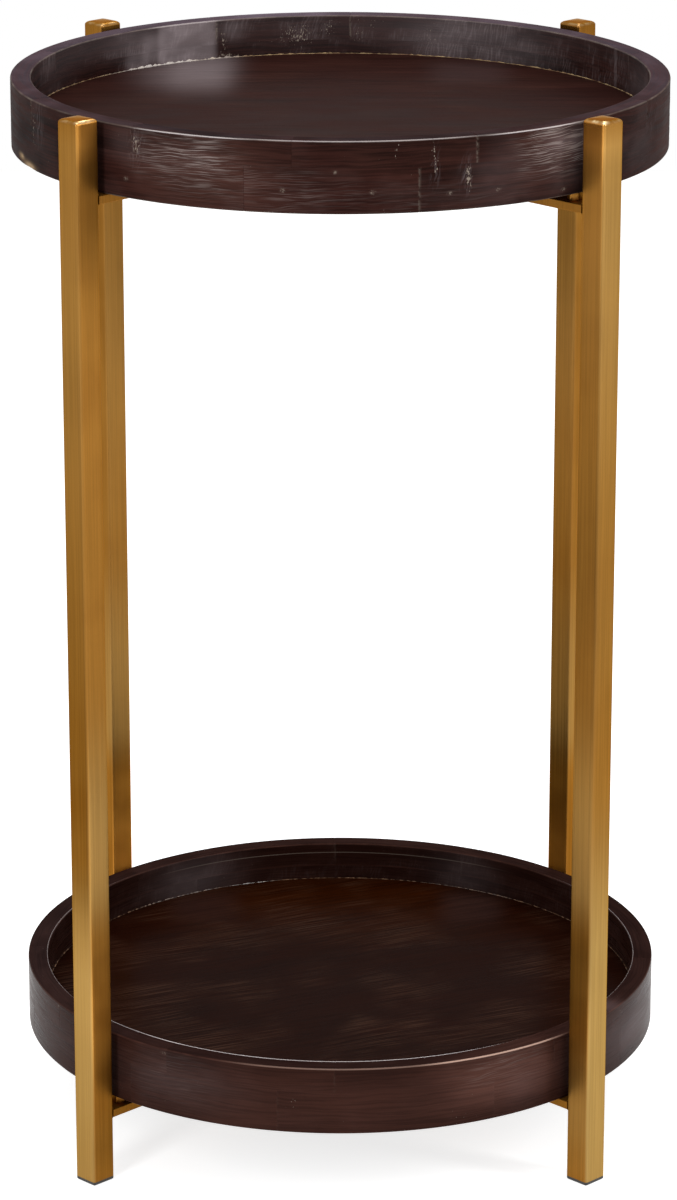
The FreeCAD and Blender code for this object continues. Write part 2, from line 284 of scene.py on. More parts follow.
# %% Group: hairlines
graph, given, result = new_group("hairlines", "ShaderNodeTree", {
    "Along": (FLOAT, 0.0), "Across": (FLOAT, 0.0), "Angle": (FLOAT, 0.0), "Length": (FLOAT, 14 * MM),
    "Width": (FLOAT, 0.5 * MM), "Bend": (FLOAT, 0.0), "Bend length": (FLOAT, 12 * MM),
    "Cut": (FLOAT, 0.6), "Softness": (FLOAT, 0.12),
}, {"Mask": FLOAT})
hairlines = graph.tree
along, across = given["Along"], given["Across"]
cosine, sine = graph.maths("COSINE", given["Angle"]), graph.maths("SINE", given["Angle"])
turned_x = along * cosine + across * sine
turned_y = across * cosine - along * sine
slow = graph.cloud(graph.vector(turned_x / given["Bend length"],
                                turned_y / given["Bend length"] * 1.7, 7.0), 1.0)
turned_y = turned_y + (slow - 0.5) * given["Bend"]
lines = graph.stretched(turned_x, turned_y, given["Length"], given["Width"], 3.0, 3.0)
graph.feed(result, {"Mask": graph.remap(lines - given["Cut"], 0.0, given["Softness"])})
print(hairlines.name, len(hairlines.nodes), "nodes")

# %% [markdown]
# ## Stained wood on the rims
# The rims are dark espresso over a red-brown ground. The stain is thin: it lets the red
# through where the surface is smooth, and it dries to a grey haze where the wood is rough.
# The staves are bent round the tray, so their grain follows a UV map measured in metres,
# round the rim and across its section, rather than the straight axes of the room. What
# varies over the mesh comes in as attributes: how near a glue joint is, how worn an edge is,
# and how hazy, scraped, torn or raw the wood is at each place. The same attributes paint
# light and shade into the colour: pale sheen and warm sheen where reflections fall, silver
# highlight streaks, glints on the edges and the inner lip, and shade on the lower tray's
# inner wall. Rough wood is dull where it is seen aslant, so the roughness rises there.

# %% Material: stained wood
ESPRESSO_DARK = (0.0075, 0.0030, 0.0026, 1)
ESPRESSO_RED = (0.032, 0.0105, 0.0082, 1)
HAZE_SHEEN_GREY = (0.270, 0.222, 0.230, 1)
WARM_SHEEN_BROWN = (0.105, 0.044, 0.033, 1)
SILVER_GLINT = (0.36, 0.30, 0.28, 1)
GLINT_WHITE = (0.78, 0.71, 0.71, 1)
WORN_PALE = (0.30, 0.245, 0.20, 1)
RAW_WOOD = (0.36, 0.25, 0.15, 1)
PAINTED_SHADE_BLACK = (0.004, 0.0008, 0.0004, 1)
LIP_RADIUS = inner_radius + 0.6 * MM


def stained_rim_wood(name, look):
    """Look holds the finish's colours and strengths, as listed under RIM_LOOK."""
    material, graph, skin = new_material(name)
    mark, remap, mix = graph.attribute, graph.remap, graph.mix
    metres = graph.metres()
    along, across, nothing = graph.parts(graph.add("ShaderNodeUVMap", uv_map="rim_uv")[0])
    on_wood = {"Along": along, "Across": across}
    stave, inner = mark("stave_tone"), mark("inner")

    # the ground: grain, one tone for each stave, slow patches, painted shade on the lower tray's inner
    # wall and painted warm sheen
    grain = graph.group(timber_grain, {**on_wood, "Seed": stave})
    shift = remap(stave, 0.0, 1.0, -look["stave_contrast"], look["stave_contrast"])
    tone = grain["Streak"] * 0.55 + grain["Blotch"] * 0.45 + shift * (1.0 - inner * 0.7)
    colour = mix(tone.clamped(), look["dark"], look["red"])
    patch = remap(graph.stretched(along, across, 30 * MM, 16 * MM, stave, 3.0), 0.4, 0.66)
    # painted shade: the lower tray's inner wall darkened under the upper tray
    colour = mix(inner * look["painted_inner_shade"], colour, PAINTED_SHADE_BLACK)
    warm_sheen_share = (mark("warm_sheen") + patch * 0.08) * (grain["Streak"] * 0.3 + 0.7)
    colour = mix(warm_sheen_share.clamped(), colour, WARM_SHEEN_BROWN)

    # haze where the wood is rough or scraped, painted sheen and reflections from the listed spots, and
    # painted silver highlight streaks along the skips of the turning tool
    brush = graph.group(hairlines, {**on_wood, "Angle": 1.35, "Length": 12 * MM, "Width": 1.3 * MM,
                                    "Bend": 5 * MM, "Cut": 0.46, "Softness": 0.2})["Mask"]
    brushed = brush * (patch * inner + mark("scrape"))
    painted_sheen = mark("haze_and_sheen") * (patch * 0.28 + 0.72)
    gust = remap(graph.stretched(along, across, 26 * MM, 9 * MM, 5.0), 0.36, 0.64, 0.45, 1.25)
    glint_streaks = mark("streak") * (gust * look["glint_streaks"])
    sheen_and_haze = brushed * look["haze_and_sheen"] + painted_sheen + patch * (look["haze_and_sheen"] * 0.1) + glint_streaks * 0.03
    sheen_and_haze = sheen_and_haze.clamped()
    colour = mix(sheen_and_haze, colour, look["haze_sheen_colour"])
    skips = graph.group(hairlines, {
        **on_wood, "Angle": 0.03, "Length": 20 * MM, "Width": 0.62 * MM, "Bend": 3.5 * MM,
        "Bend length": 22 * MM, "Cut": 0.48, "Softness": 0.16})["Mask"]
    # painted highlight: silver streaks along the tool's skips, where the streak spots lie
    colour = mix((skips * glint_streaks).clamped() * 0.55, colour, SILVER_GLINT)

    # worn edges with a painted glint on them, the pale specks of torn grain, joints and flecks, and a
    # thin pale line along the lower tray's inner wall
    worn_glint = mark("edge") * remap(graph.cloud(metres, 4.0, 1 / (14 * MM)), 0.35, 0.7, 0.2, 1.0)
    colour = mix(worn_glint * look["edge_wear_and_glint"], colour, look["edge_wear_glint_colour"])
    torn_place = graph.vector(along / (0.75 * MM), across / (2.0 * MM), stave)
    torn = graph.group(pale_specks, {"Place": torn_place, "Size": 1.0,
                                     "Amount": mark("tearout")})["Mask"]
    crumbs = graph.group(pale_specks, {"Place": metres, "Size": 1.3 * MM, "Rarity": 0.155})["Mask"]
    joint = mark("joint_mark") * remap(graph.cloud(metres, 3.0, 1 / (2.5 * MM)), 0.4, 0.58, 0.1, 1.0)
    fleck = mark("fleck") * remap(graph.cloud(metres, 1.0, 1 / (0.9 * MM)), 0.42, 0.58, 0.15, 1.3)
    off_line = abs(graph.parts(metres)[2] - look["line_height"])
    line = remap(off_line, 0.1 * MM, 0.4 * MM, 1.0, 0.0) * mark("line")
    pale = graph.largest(torn, joint, fleck.clamped(), crumbs * 0.6, line)
    colour = mix(pale * 0.8, colour, WORN_PALE)

    # painted highlights: the bright lip inside the rim's top and the glinting edges; then raw wood
    flat = graph.add("ShaderNodeVectorMath", {0: metres, 1: (1, 1, 0)}, operation="MULTIPLY")[0]
    radius = graph.add("ShaderNodeVectorMath", {0: flat}, operation="LENGTH")["Value"]
    lip_share, raw = mark("lip_glint"), mark("raw")
    off_lip = abs(radius - LIP_RADIUS) / graph.largest(lip_share, 0.05)
    lip_glint = remap(off_lip, 0.3 * MM, 0.5 * MM, 1.0, 0.0) * (lip_share * 2.0)
    colour = mix(mark("edge_glint") * mark("edge"), colour, look["edge_glint_colour"])
    colour = mix(lip_glint.clamped(), colour, GLINT_WHITE)
    colour = mix(raw, colour, RAW_WOOD)

    aslant = graph.add("ShaderNodeLayerWeight", {"Blend": 0.5})["Facing"]
    gloss = grain["Streak"] * 0.1 + look["roughness"] + sheen_and_haze * 0.15
    gloss = gloss + remap(aslant, 0.58, 0.76, 0.0, look["dull_aslant"]) + raw * 0.3
    relief = grain["Streak"] - grain["Pores"] * 0.8 - torn * look["tear_depth"]
    graph.feed(skin, {"Base Color": colour, "Roughness": gloss.clamped(),
                      "Specular IOR Level": look["specular"],
                      "Normal": graph.bump(relief, 0.5, 0.06 * MM)})
    return material


# %% The rims' finishes, one for the walls and one for the tops of each tier
RIM_LOOK = {
    "top": {
        "haze_and_sheen": 0.17, "roughness": 0.34, "tear_depth": 2.0, "edge_wear_and_glint": 0.3, "stave_contrast": 0.2,
        "painted_inner_shade": 0.0, "line_height": 0.0, "specular": 0.013, "glint_streaks": 1.0, "dull_aslant": 0.16,
        "dark": ESPRESSO_DARK, "red": ESPRESSO_RED, "edge_wear_glint_colour": WORN_PALE,
        "edge_glint_colour": GLINT_WHITE, "haze_sheen_colour": HAZE_SHEEN_GREY},
    "bottom": {
        "haze_and_sheen": 0.03, "roughness": 0.26, "tear_depth": 1.0, "edge_wear_and_glint": 0.25, "stave_contrast": 0.02,
        "painted_inner_shade": 0.45, "line_height": levels["bottom"]["rim_top"] - 5.9 * MM,
        "specular": 0.022, "glint_streaks": 1.0, "dull_aslant": 0.0,
        "dark": (0.019, 0.0068, 0.0050, 1), "red": (0.034, 0.0122, 0.0085, 1),
        "edge_wear_glint_colour": (0.15, 0.066, 0.048, 1), "edge_glint_colour": (0.66, 0.44, 0.35, 1),
        "haze_sheen_colour": HAZE_SHEEN_GREY},
}
# the lower tray's rim tops take darker colours: painted shade under the upper tray
RIM_TOP_LOOK = {
    "top": {"specular": 0.0008, "glint_streaks": 0.0, "dull_aslant": 0.0,
            "haze_sheen_colour": (0.270, 0.215, 0.280, 1)},
    "bottom": {"specular": 0.0006, "glint_streaks": 0.0, "haze_sheen_colour": (0.270, 0.222, 0.240, 1),
               "dark": (0.0150, 0.0062, 0.0052, 1), "red": (0.026, 0.0108, 0.0088, 1)},
}
rim_wood, rim_top_wood = {}, {}
for tier in TIERS:
    rim_wood[tier] = stained_rim_wood(tier + "_rim_wall_stained", RIM_LOOK[tier])
    rim_top_wood[tier] = stained_rim_wood(tier + "_rim_top_stained",
                                          {**RIM_LOOK[tier], **RIM_TOP_LOOK[tier]})
print("rim wood:", [m.name for m in rim_wood.values()])

# %% [markdown]
# ## Stained wood on the floors
# Each tray's floor is one flat panel, with the grain straight from side to side. A flat
# board has no bend to follow, so plain Object coordinates are the simplest choice: X runs
# along the grain and Y across it. The lower floor is nearly black and polished, redder
# towards the back, and its grain runs aslant, so its coordinates are turned.

# %% Material: stained panels, one for each tier
LINE_BROWN = (0.12, 0.058, 0.036, 1)
OPEN_RED = (0.031, 0.0105, 0.0082, 1)


def stained_floor_wood(name, look):
    material, graph, skin = new_material(name)
    metres = graph.metres()
    turned = graph.add("ShaderNodeMapping", {"Vector": metres, "Rotation": (0, 0, look["lean"])})[0]
    along, across, nothing = graph.parts(turned)
    grain = graph.group(timber_grain, {
        "Along": along, "Across": across, "Streak length": 90 * MM,
        "Streak width": look["streak_width"], "Wander": 3 * MM, "Seed": 4.0})
    contrast = look["contrast"]
    tone = grain["Streak"] * contrast + grain["Blotch"] * (contrast * 0.6) + (0.5 - contrast * 0.8)
    aside, depth, nothing = graph.parts(metres)
    middle = graph.remap(abs(aside), 50 * MM, 140 * MM, 1.0, 0.2)
    backward = graph.remap(depth, 20 * MM, 160 * MM) * middle
    colour = graph.mix(tone, look["dark"], graph.mix(backward, look["red"], look["back_red"]))
    # painted reflection: pale patches where the inner wall is mirrored in the lacquer
    painted_sheen = graph.attribute("haze_and_sheen") * (grain["Streak"] * 0.25 + 0.75)
    colour = graph.mix(painted_sheen, colour, HAZE_SHEEN_GREY)
    lines = graph.group(hairlines, {
        "Along": along, "Across": across, "Length": 45 * MM, "Width": 0.8 * MM, "Bend": 14 * MM,
        "Bend length": 110 * MM, "Cut": 0.5, "Softness": 0.1})["Mask"]
    where = graph.remap(graph.cloud(metres, 2.0, 1 / (60 * MM)), 0.42, 0.62)
    colour = graph.mix(lines * where * look["line_strength"], colour, LINE_BROWN)
    dust = graph.group(pale_specks, {"Place": metres, "Size": 1.1 * MM, "Rarity": 0.17})["Mask"]
    colour = graph.mix(dust * 0.25, colour, WORN_PALE)
    graph.feed(skin, {"Base Color": colour, "Roughness": grain["Blotch"] * 0.08 + look["roughness"],
                      "Specular IOR Level": 0.0035,
                      "Normal": graph.bump(grain["Streak"] - grain["Pores"], 0.35, 0.04 * MM)})
    return material


floor_wood = {
    "top": stained_floor_wood("stained_panel_open", {
        "dark": (0.013, 0.0050, 0.0042, 1), "red": OPEN_RED, "back_red": OPEN_RED,
        "roughness": 0.36, "lean": 0.0, "streak_width": 1.5 * MM, "contrast": 0.5,
        "line_strength": 0.08}),
    "bottom": stained_floor_wood("stained_panel_polished", {
        "dark": (0.0085, 0.0016, 0.0004, 1), "red": (0.0225, 0.0060, 0.0032, 1),
        "back_red": (0.042, 0.0090, 0.0012, 1), "roughness": 0.26, "lean": -0.42,
        "streak_width": 1.8 * MM, "contrast": 0.3, "line_strength": 0.3}),
}
print("floor wood:", [m.name for m in floor_wood.values()])

# %% [markdown]
# ## Gold paint
# The steel is sprayed with a satin metallic paint. Paint with metal flake is part mirror and
# part pigment, so the shader is mostly metallic with some diffuse colour left, and the flake
# is a very fine bump. The spray is never quite even, so a slow cloud shifts colour and gloss.
# Paleness is painted on the faces that look away from the table, most of all near both
# ends of a leg, and low on the other faces: painted reflection and sheen. The legs carry
# attributes that mark those faces, painted light and shade that make places lighter, darker
# or paler, the polish towards the top, and the cap's rubbed edges with painted glints.

# %% Group and material: gold paint
GOLD_DEEP = (0.210, 0.085, 0.012, 1)
GOLD_LIGHT = (0.250, 0.108, 0.017, 1)
GOLD_SHEEN_PALE = (0.335, 0.208, 0.066, 1)
GOLD_WORN_GLINT = (0.85, 0.66, 0.38, 1)
DUST_TAN = (0.6, 0.45, 0.25, 1)
DRAWN = (900, 900, 11)

graph, given, result = new_group("paint_mottle", "ShaderNodeTree", {
    "Place": (VECTOR, None), "Patch size": (FLOAT, 30 * MM), "Flake size": (FLOAT, 0.35 * MM),
}, {"Patch": FLOAT, "Flake": FLOAT})
paint_mottle = graph.tree
patch = graph.cloud(given["Place"], 3.0, 1.0 / given["Patch size"])
flake = graph.cloud(given["Place"], 1.0, 1.0 / given["Flake size"])
graph.feed(result, {"Patch": graph.remap(patch, 0.34, 0.66), "Flake": flake})


def gold_paint_coat(name, roughness, flake_depth):
    material, graph, skin = new_material(name)
    remap, mark = graph.remap, graph.attribute
    metres = graph.metres()
    mottle = graph.group(paint_mottle, {"Place": metres, "Patch size": 55 * MM})
    colour = graph.mix(mottle["Patch"], GOLD_DEEP, GOLD_LIGHT)

    # painted sheen and reflection: paler on the outward faces, and near the foot on the others
    height = graph.parts(metres)[2]
    outward = remap(height, 0.12, 0.25, 0.95, 0.0) + remap(height, 0.34, 0.54, 0.0, 0.42) + 0.12
    side_sheen = remap(height, 0.15, 0.185) * remap(height, 0.22, 0.31, 0.5, 0.1)
    looks_out, polish = mark("outward"), mark("polish")
    pale = outward * looks_out + side_sheen * (1.0 - looks_out) + mark("painted_pale")
    colour = graph.mix(pale.clamped() * (1.0 - polish), colour, GOLD_SHEEN_PALE)

    # fine lines along the tube, painted light and shade from the tone attribute, rubbed edges with
    # painted glints, and dust
    stretched = graph.add("ShaderNodeMapping", {"Vector": metres, "Scale": DRAWN})[0]
    tone = remap(graph.cloud(stretched), 0.35, 0.65, 0.92, 1.06) + mark("tone")
    colour = graph.add("ShaderNodeVectorMath", {0: colour, "Scale": tone}, operation="SCALE")[0]
    sparks = remap(graph.cloud(metres, 1.0, 1 / (3.5 * MM)), 0.35, 0.6, 0.25, 1.0)
    colour = graph.mix(mark("rubbed_and_glint") * sparks, colour, GOLD_WORN_GLINT)
    dust = graph.group(pale_specks, {"Place": metres, "Size": 0.9 * MM, "Rarity": 0.18})["Mask"]
    colour = graph.mix(dust * 0.4, colour, DUST_TAN)
    graph.feed(skin, {"Base Color": colour, "Metallic": 0.9, "Specular IOR Level": 0.12,
                      "Specular Tint": (0.74, 0.46, 0.2, 1),
                      "Roughness": mottle["Patch"] * 0.08 + roughness - polish * 0.2,
                      "Normal": graph.bump(mottle["Flake"], 0.25, flake_depth)})
    return material


leg_gold = gold_paint_coat("gold_paint_legs", 0.36, 0.03 * MM)
frame_gold = gold_paint_coat("gold_paint_frames", 0.4, 0.05 * MM)
print("gold paint:", leg_gold.name, frame_gold.name)

# %% [markdown]
# ## Small finishes
# Three small finishes are left: the line of hardened glue where a floor meets its rim, the
# black moulded plastic of the foot plugs, and the bright zinc on the screws. Each still gets
# its own texture, because a plain colour looks like a toy at close range.

# %% Materials: glue, plastic and zinc
PAINTED_SHEEN_WHITE = (0.62, 0.58, 0.56, 1)


def simple_finish(name, first, second, patch_size, roughness, metallic, bump_depth, specular=0.5):
    """A finish of two near colours in patches, with pale painted sheen where its attribute says so."""
    material, graph, skin = new_material(name)
    mottle = graph.group(paint_mottle, {"Place": graph.metres(), "Patch size": patch_size})
    colour = graph.mix(mottle["Patch"], first, second)
    graph.feed(skin, {"Base Color": graph.mix(graph.attribute("haze_and_sheen"), colour, PAINTED_SHEEN_WHITE),
                      "Roughness": mottle["Patch"] * 0.12 + roughness,
                      "Metallic": metallic, "Specular IOR Level": specular,
                      "Normal": graph.bump(mottle["Flake"], 0.4, bump_depth)})
    return material


seam_glue = {
    "top": simple_finish("seam_glue_gold", (0.13, 0.065, 0.035, 1), (0.36, 0.25, 0.13, 1),
                         9 * MM, 0.35, 0.0, 0.05 * MM, 0.1),
    "bottom": simple_finish("seam_glue_dark", (0.035, 0.014, 0.006, 1), (0.30, 0.17, 0.10, 1),
                            3 * MM, 0.3, 0.0, 0.05 * MM, 0.1),
}
black_plastic = simple_finish("black_plastic_moulded", (0.012, 0.012, 0.012, 1),
                              (0.022, 0.021, 0.02, 1), 3 * MM, 0.45, 0.0, 0.04 * MM)
zinc = simple_finish("zinc_plate", (0.42, 0.42, 0.40, 1), (0.62, 0.61, 0.58, 1),
                     2 * MM, 0.25, 1.0, 0.02 * MM)
print("small finishes:", black_plastic.name, zinc.name)

# %% [markdown]
# ## Turning a Geometry Nodes result into a plain mesh
# A modifier stays live until it is applied. So each
# Geometry Nodes object is evaluated once, its result is copied into a plain mesh, and the
# object that carried the modifier is removed. Faces are then made to point outwards.

# %% Helpers that finish a mesh


def new_object(name, mesh):
    piece = bpy.data.objects.new(name, mesh)
    bpy.context.scene.collection.objects.link(piece)
    return piece


def face_outwards(piece):
    """Smooth faces that point away from the inside."""
    work = bmesh.new()
    work.from_mesh(piece.data)
    bmesh.ops.recalc_face_normals(work, faces=work.faces)
    for face in work.faces:
        face.smooth = True
    work.to_mesh(piece.data)
    work.free()
    return piece


def grown(name, carrier, tree, values):
    """What a tree makes of a carrier, as a plain mesh. Its inputs are set by title."""
    modifier = carrier.modifiers.new("build", "NODES")
    modifier.node_group = tree
    for item in tree.interface.items_tree:
        if item.item_type == "SOCKET" and item.in_out == "INPUT" and item.name in values:
            modifier[item.identifier] = values[item.name]
    depsgraph = bpy.context.evaluated_depsgraph_get()
    mesh = bpy.data.meshes.new_from_object(
        carrier.evaluated_get(depsgraph), preserve_all_data_layers=True, depsgraph=depsgraph)
    bpy.data.objects.remove(carrier)
    mesh.name = name
    return face_outwards(new_object(name, mesh))


def built(name, work):
    """The object that a bmesh makes."""
    mesh = bpy.data.meshes.new(name)
    work.to_mesh(mesh)
    work.free()
    return face_outwards(new_object(name, mesh))


def bridge(work, here, there):
    """Faces between two rings of vertices. A ring of a single vertex is a pole."""
    count = max(len(here), len(there))
    for k in range(count):
        after = (k + 1) % count
        corners = (here[k % len(here)], here[after % len(here)],
                   there[after % len(there)], there[k % len(there)])
        work.faces.new(list(dict.fromkeys(corners)))


def circle(work, radius, height, segments):
    """A ring of vertices about the axis, or a single one where the radius is nothing."""
    if radius == 0:
        return [work.verts.new((0, 0, height))]
    angles = [2 * math.pi * k / segments for k in range(segments)]
    return [work.verts.new((radius * math.cos(a), radius * math.sin(a), height)) for a in angles]


def store(piece, marks):
    """Puts numbers on the vertices, as attributes by title."""
    for title, values in marks.items():
        piece.data.attributes.new(title, "FLOAT", "POINT").data.foreach_set("value", values)


def sharpen(piece, degrees):
    """Shades smooth, apart from edges that turn by more than some degrees."""
    piece.data.set_sharp_from_angle(angle=math.radians(degrees))
    return piece


def on_body(piece, slot, *nodes):
    """Rides the piece on the table, hides the nodes that it stands for and prints them."""
    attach(piece, "root")
    if nodes:
        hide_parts(*nodes)
    print(piece.name, len(piece.data.vertices), "vertices, for", nodes or "no node")
    return piece


def near(distance, half):
    """1 at no distance, fading softly beyond half."""
    return math.exp(-(distance / half) ** 2)


def off_azimuth(first, second):
    """The angle between two azimuths, from -180 to 180 degrees."""
    return (first - second + 180) % 360 - 180


# %% [markdown]
# ## One stave of a rim
# A rim is ten staves end to end. They differ only in where they start and how far they run,
# so one stave is modelled straight, in made-up units: X from 0 to 1 is the way along it, Y is
# the distance from the tray's axis, and Z is the height. Geometry Nodes bend ten copies of it
# round the tray afterwards. The section is drawn as corners with a rounding each. It needs
# many points up the outer wall, where the ripples left by the turning tool are only a few
# millimetres apart.

# %% Helper: a section with rounded corners
OUTER, TOP, INNER, HIDDEN = "outer", "top", "inner", "hidden"
ROUNDING_STEPS = 5


def rounded_section(corners):
    """Points (spot, side, wear) along corners (radius, height, rounding, side, step)."""
    ends = []
    for index, (radius, height, rounding, side, step) in enumerate(corners):
        corner = Vector((radius, height))
        before = (Vector(corners[index - 1][:2]) - corner).normalized()
        after = (Vector(corners[(index + 1) % len(corners)][:2]) - corner).normalized()
        ends.append((corner, before, after, rounding, side, step))
    points = []
    for index, (corner, before, after, rounding, side, step) in enumerate(ends):
        last_side = ends[index - 1][4]
        if rounding > 0:
            half = before.angle(after) / 2
            reach = rounding / math.tan(half)
            centre = corner + (before + after).normalized() * (rounding / math.sin(half))
            start, stop = corner + before * reach, corner + after * reach
            for part in range(ROUNDING_STEPS + 1):
                share = part / ROUNDING_STEPS
                ray = (start - centre).lerp(stop - centre, share).normalized() * rounding
                worn = 1 - (2 * share - 1) ** 2
                points.append((centre + ray, last_side if share < 0.5 else side, worn))
        else:
            points.append((corner, side, 0.0))
        here = points[-1][0]
        following = ends[(index + 1) % len(ends)]
        reach = following[3] / math.tan(following[1].angle(following[2]) / 2)
        there = following[0] + following[1] * reach
        parts = max(1, round((there - here).length / step))
        points += [(here.lerp(there, part / parts), side, 0.0) for part in range(1, parts)]
    return points


# %% [markdown]
# The ends of a stave are eased a little, so that a glue joint shows as a fine groove. Close
# to each end the section shrinks by a fraction of a millimetre. Those columns keep their
# distance from the end in metres, in an attribute, because the straight stave's own X is a
# share of a length that isn't known yet.

# %% Helper: the straight stave
STAVE_COLUMNS = 96
JOINT_EASE = {"top": 0.22 * MM, "bottom": 0.09 * MM}
JOINT_REACH = 0.45 * MM


def straight_stave(corners, most):
    section = rounded_section(corners)
    count = len(section)
    columns = [(0.0, 0.0, most), (0.0, JOINT_REACH / 3, most / 3), (0.0, JOINT_REACH, 0.0)]
    columns += [(k / STAVE_COLUMNS, 0.0, 0.0) for k in range(1, STAVE_COLUMNS)]
    columns += [(1.0, -JOINT_REACH, 0.0), (1.0, -JOINT_REACH / 3, most / 3), (1.0, 0.0, most)]
    spots, distance = [], [0.0]
    for index, (spot, side, worn) in enumerate(section):
        before, after = section[index - 1][0], section[(index + 1) % count][0]
        outward = Vector((after.y - before.y, before.x - after.x)).normalized()
        distance.append(distance[-1] + (after - spot).length)
        spots.append((spot, outward if side != HIDDEN else Vector((0, 0)), side, worn))
    work = bmesh.new()
    rows = [[work.verts.new((share, *(spot - outward * ease))) for spot, outward, side, worn in spots]
            for share, offset, ease in columns]
    uv = work.loops.layers.uv.new("rim_uv")
    for column in range(len(columns) - 1):
        for index in range(count):
            after = (index + 1) % count
            face = work.faces.new((rows[column][index], rows[column + 1][index],
                                   rows[column + 1][after], rows[column][after]))
            places = ((column, index), (column + 1, index),
                      (column + 1, index + 1), (column, index + 1))
            for loop, (c, i) in zip(face.loops, places):
                loop[uv].uv = (columns[c][0], distance[i])
    work.faces.new(rows[0])
    work.faces.new(reversed(rows[-1]))
    mesh = bpy.data.meshes.new("straight_stave")
    work.to_mesh(mesh)
    work.free()
    stave = new_object("straight_stave", mesh)
    store(stave, {"end_offset": [offset for share, offset, ease in columns for spot in spots],
                  "edge": [spot[3] for column in columns for spot in spots]})
    store(stave, {face: [float(spot[2] == face) for column in columns for spot in spots]
                  for face in (OUTER, TOP, INNER)})
    return stave


def upper_stave_corners(tier):
    base, top = levels[tier]["seam"], levels[tier]["rim_top"]
    return [(inner_radius, base, 0, HIDDEN, 3 * MM), (tray_radius, base, 0, OUTER, 0.7 * MM),
            (tray_radius, top, rim_rounding, TOP, 1.5 * MM),
            (inner_radius, top, rim_rounding, INNER, 1.2 * MM)]


def lower_stave_corners(tier):
    here = levels[tier]
    tongue_top = here["floor_top"] - tongue_drop
    return [(inner_radius, here["base"], 0, TOP, 2 * MM),
            (tray_radius, here["base"], rim_rounding, OUTER, 0.7 * MM),
            (tray_radius, here["seam"], 0, HIDDEN, 3 * MM),
            (inner_radius, here["seam"], 0, INNER, 1.2 * MM),
            (inner_radius, tongue_top, 0, HIDDEN, 3 * MM),
            (groove_radius, tongue_top, 0, HIDDEN, 3 * MM),
            (groove_radius, here["floor_under"], 0, HIDDEN, 3 * MM),
            (inner_radius, here["floor_under"], 0, INNER, 2 * MM)]


print("section points:", len(rounded_section(upper_stave_corners("top"))),
      len(rounded_section(lower_stave_corners("top"))))

# %% [markdown]
# ## The ring of staves, with Geometry Nodes
# The carrier of each rim course is ten loose points, and each point holds the numbers of one
# stave: where it starts, how far it sweeps, how warm its stain is and how it leans. The tree
# puts the straight stave on every point and realizes the copies, so that the numbers of the
# point reach all its vertices. Then one Set Position node bends everything round the tray and
# adds the ripples of the turning tool. Noise makes the ripples, because a real tool skips.

# %% Tree: ring of staves


def named(graph, name, kind="FLOAT"):
    return graph.add("GeometryNodeInputNamedAttribute", {"Name": name}, data_type=kind)[0]


def stored(graph, geometry, name, value, kind="FLOAT", domain="POINT"):
    inputs = {"Geometry": geometry, "Name": name, "Value": value}
    return graph.add("GeometryNodeStoreNamedAttribute", inputs, data_type=kind, domain=domain)[0]


def copies(graph, points, part, **turn):
    """Copies of an object's or a tree's geometry on points, turned where a turn is given."""
    inputs = {"Points": points, "Instance": part, **turn}
    return graph.add("GeometryNodeInstanceOnPoints", inputs)[0]


def realized(graph, geometry, given, result):
    """The last two nodes of every tree."""
    solid = graph.add("GeometryNodeRealizeInstances", {"Geometry": geometry})[0]
    inputs = {"Geometry": solid, "Material": given["Material"]}
    graph.feed(result, {"Geometry": graph.add("GeometryNodeSetMaterial", inputs)[0]})
    print(graph.tree.name, len(graph.tree.nodes), "nodes")


graph, given, result = new_group("ring_of_staves", "GeometryNodeTree", {
    "Geometry": (GEOMETRY, None), "Stave": (OBJECT, None), "Radius": (FLOAT, 0.19),
    "Ripple depth": (FLOAT, 0.05 * MM), "Ripple length": (FLOAT, 11 * MM),
    "Ripple height": (FLOAT, 2.4 * MM), "Unevenness": (FLOAT, 0.1 * MM), "Seed": (FLOAT, 0.0),
    "Material": (MATERIAL, None),
}, {"Geometry": GEOMETRY})
ring_of_staves = graph.tree
radius, seed = given["Radius"], given["Seed"]
stave = graph.add("GeometryNodeObjectInfo", {"Object": given["Stave"]})["Geometry"]
staves = copies(graph, given["Geometry"], stave)
ring = graph.add("GeometryNodeRealizeInstances", {"Geometry": staves})[0]
spot_x, spot_y, spot_z = graph.parts(graph.add("GeometryNodeInputPosition")[0])
start, sweep, end_offset = (named(graph, name) for name in ("start", "sweep", "end_offset"))
outer, inner, top = (named(graph, name) for name in (OUTER, INNER, TOP))
turn = start + spot_x * sweep + end_offset / radius
arc = turn * radius
skip = graph.vector(arc / given["Ripple length"], spot_z / given["Ripple height"], seed)
ripple = (graph.cloud(skip, distortion=0.35) - 0.5) * (given["Ripple depth"] * 4.0) * outer
uneven = (graph.stretched(arc, spot_z, 70 * MM, 25 * MM, seed) - 0.5) * (given["Unevenness"] * 3.0)
lean = named(graph, "lean") * (spot_z - named(graph, "middle_height")) * inner
fade = graph.remap(abs(spot_x - 0.5), 0.3, 0.5, 1.0, 0.25)
reach = spot_y + (ripple + (lean + uneven) * fade)
place = graph.vector(reach * graph.maths("COSINE", turn), reach * graph.maths("SINE", turn),
                     spot_z + uneven * 0.5 * top)
uv_x, uv_y, nothing = graph.parts(named(graph, "rim_uv", "FLOAT_VECTOR"))
uv_arc = (start + uv_x * sweep) * radius + named(graph, "stave_tone")
gap = graph.maths("MINIMUM", spot_x, 1.0 - spot_x) * sweep * radius + abs(end_offset)
near_end = graph.maths("GREATER_THAN", spot_x, 0.5)
shown = 0.0
for side, face in ((OUTER, outer), (INNER, inner)):
    first, last = named(graph, side + "_first"), named(graph, side + "_last")
    shown = (first * (1.0 - near_end) + last * near_end) * face + shown
joint_mark = graph.remap(gap, 0.1 * MM, 0.7 * MM, 1.0, 0.0) * shown
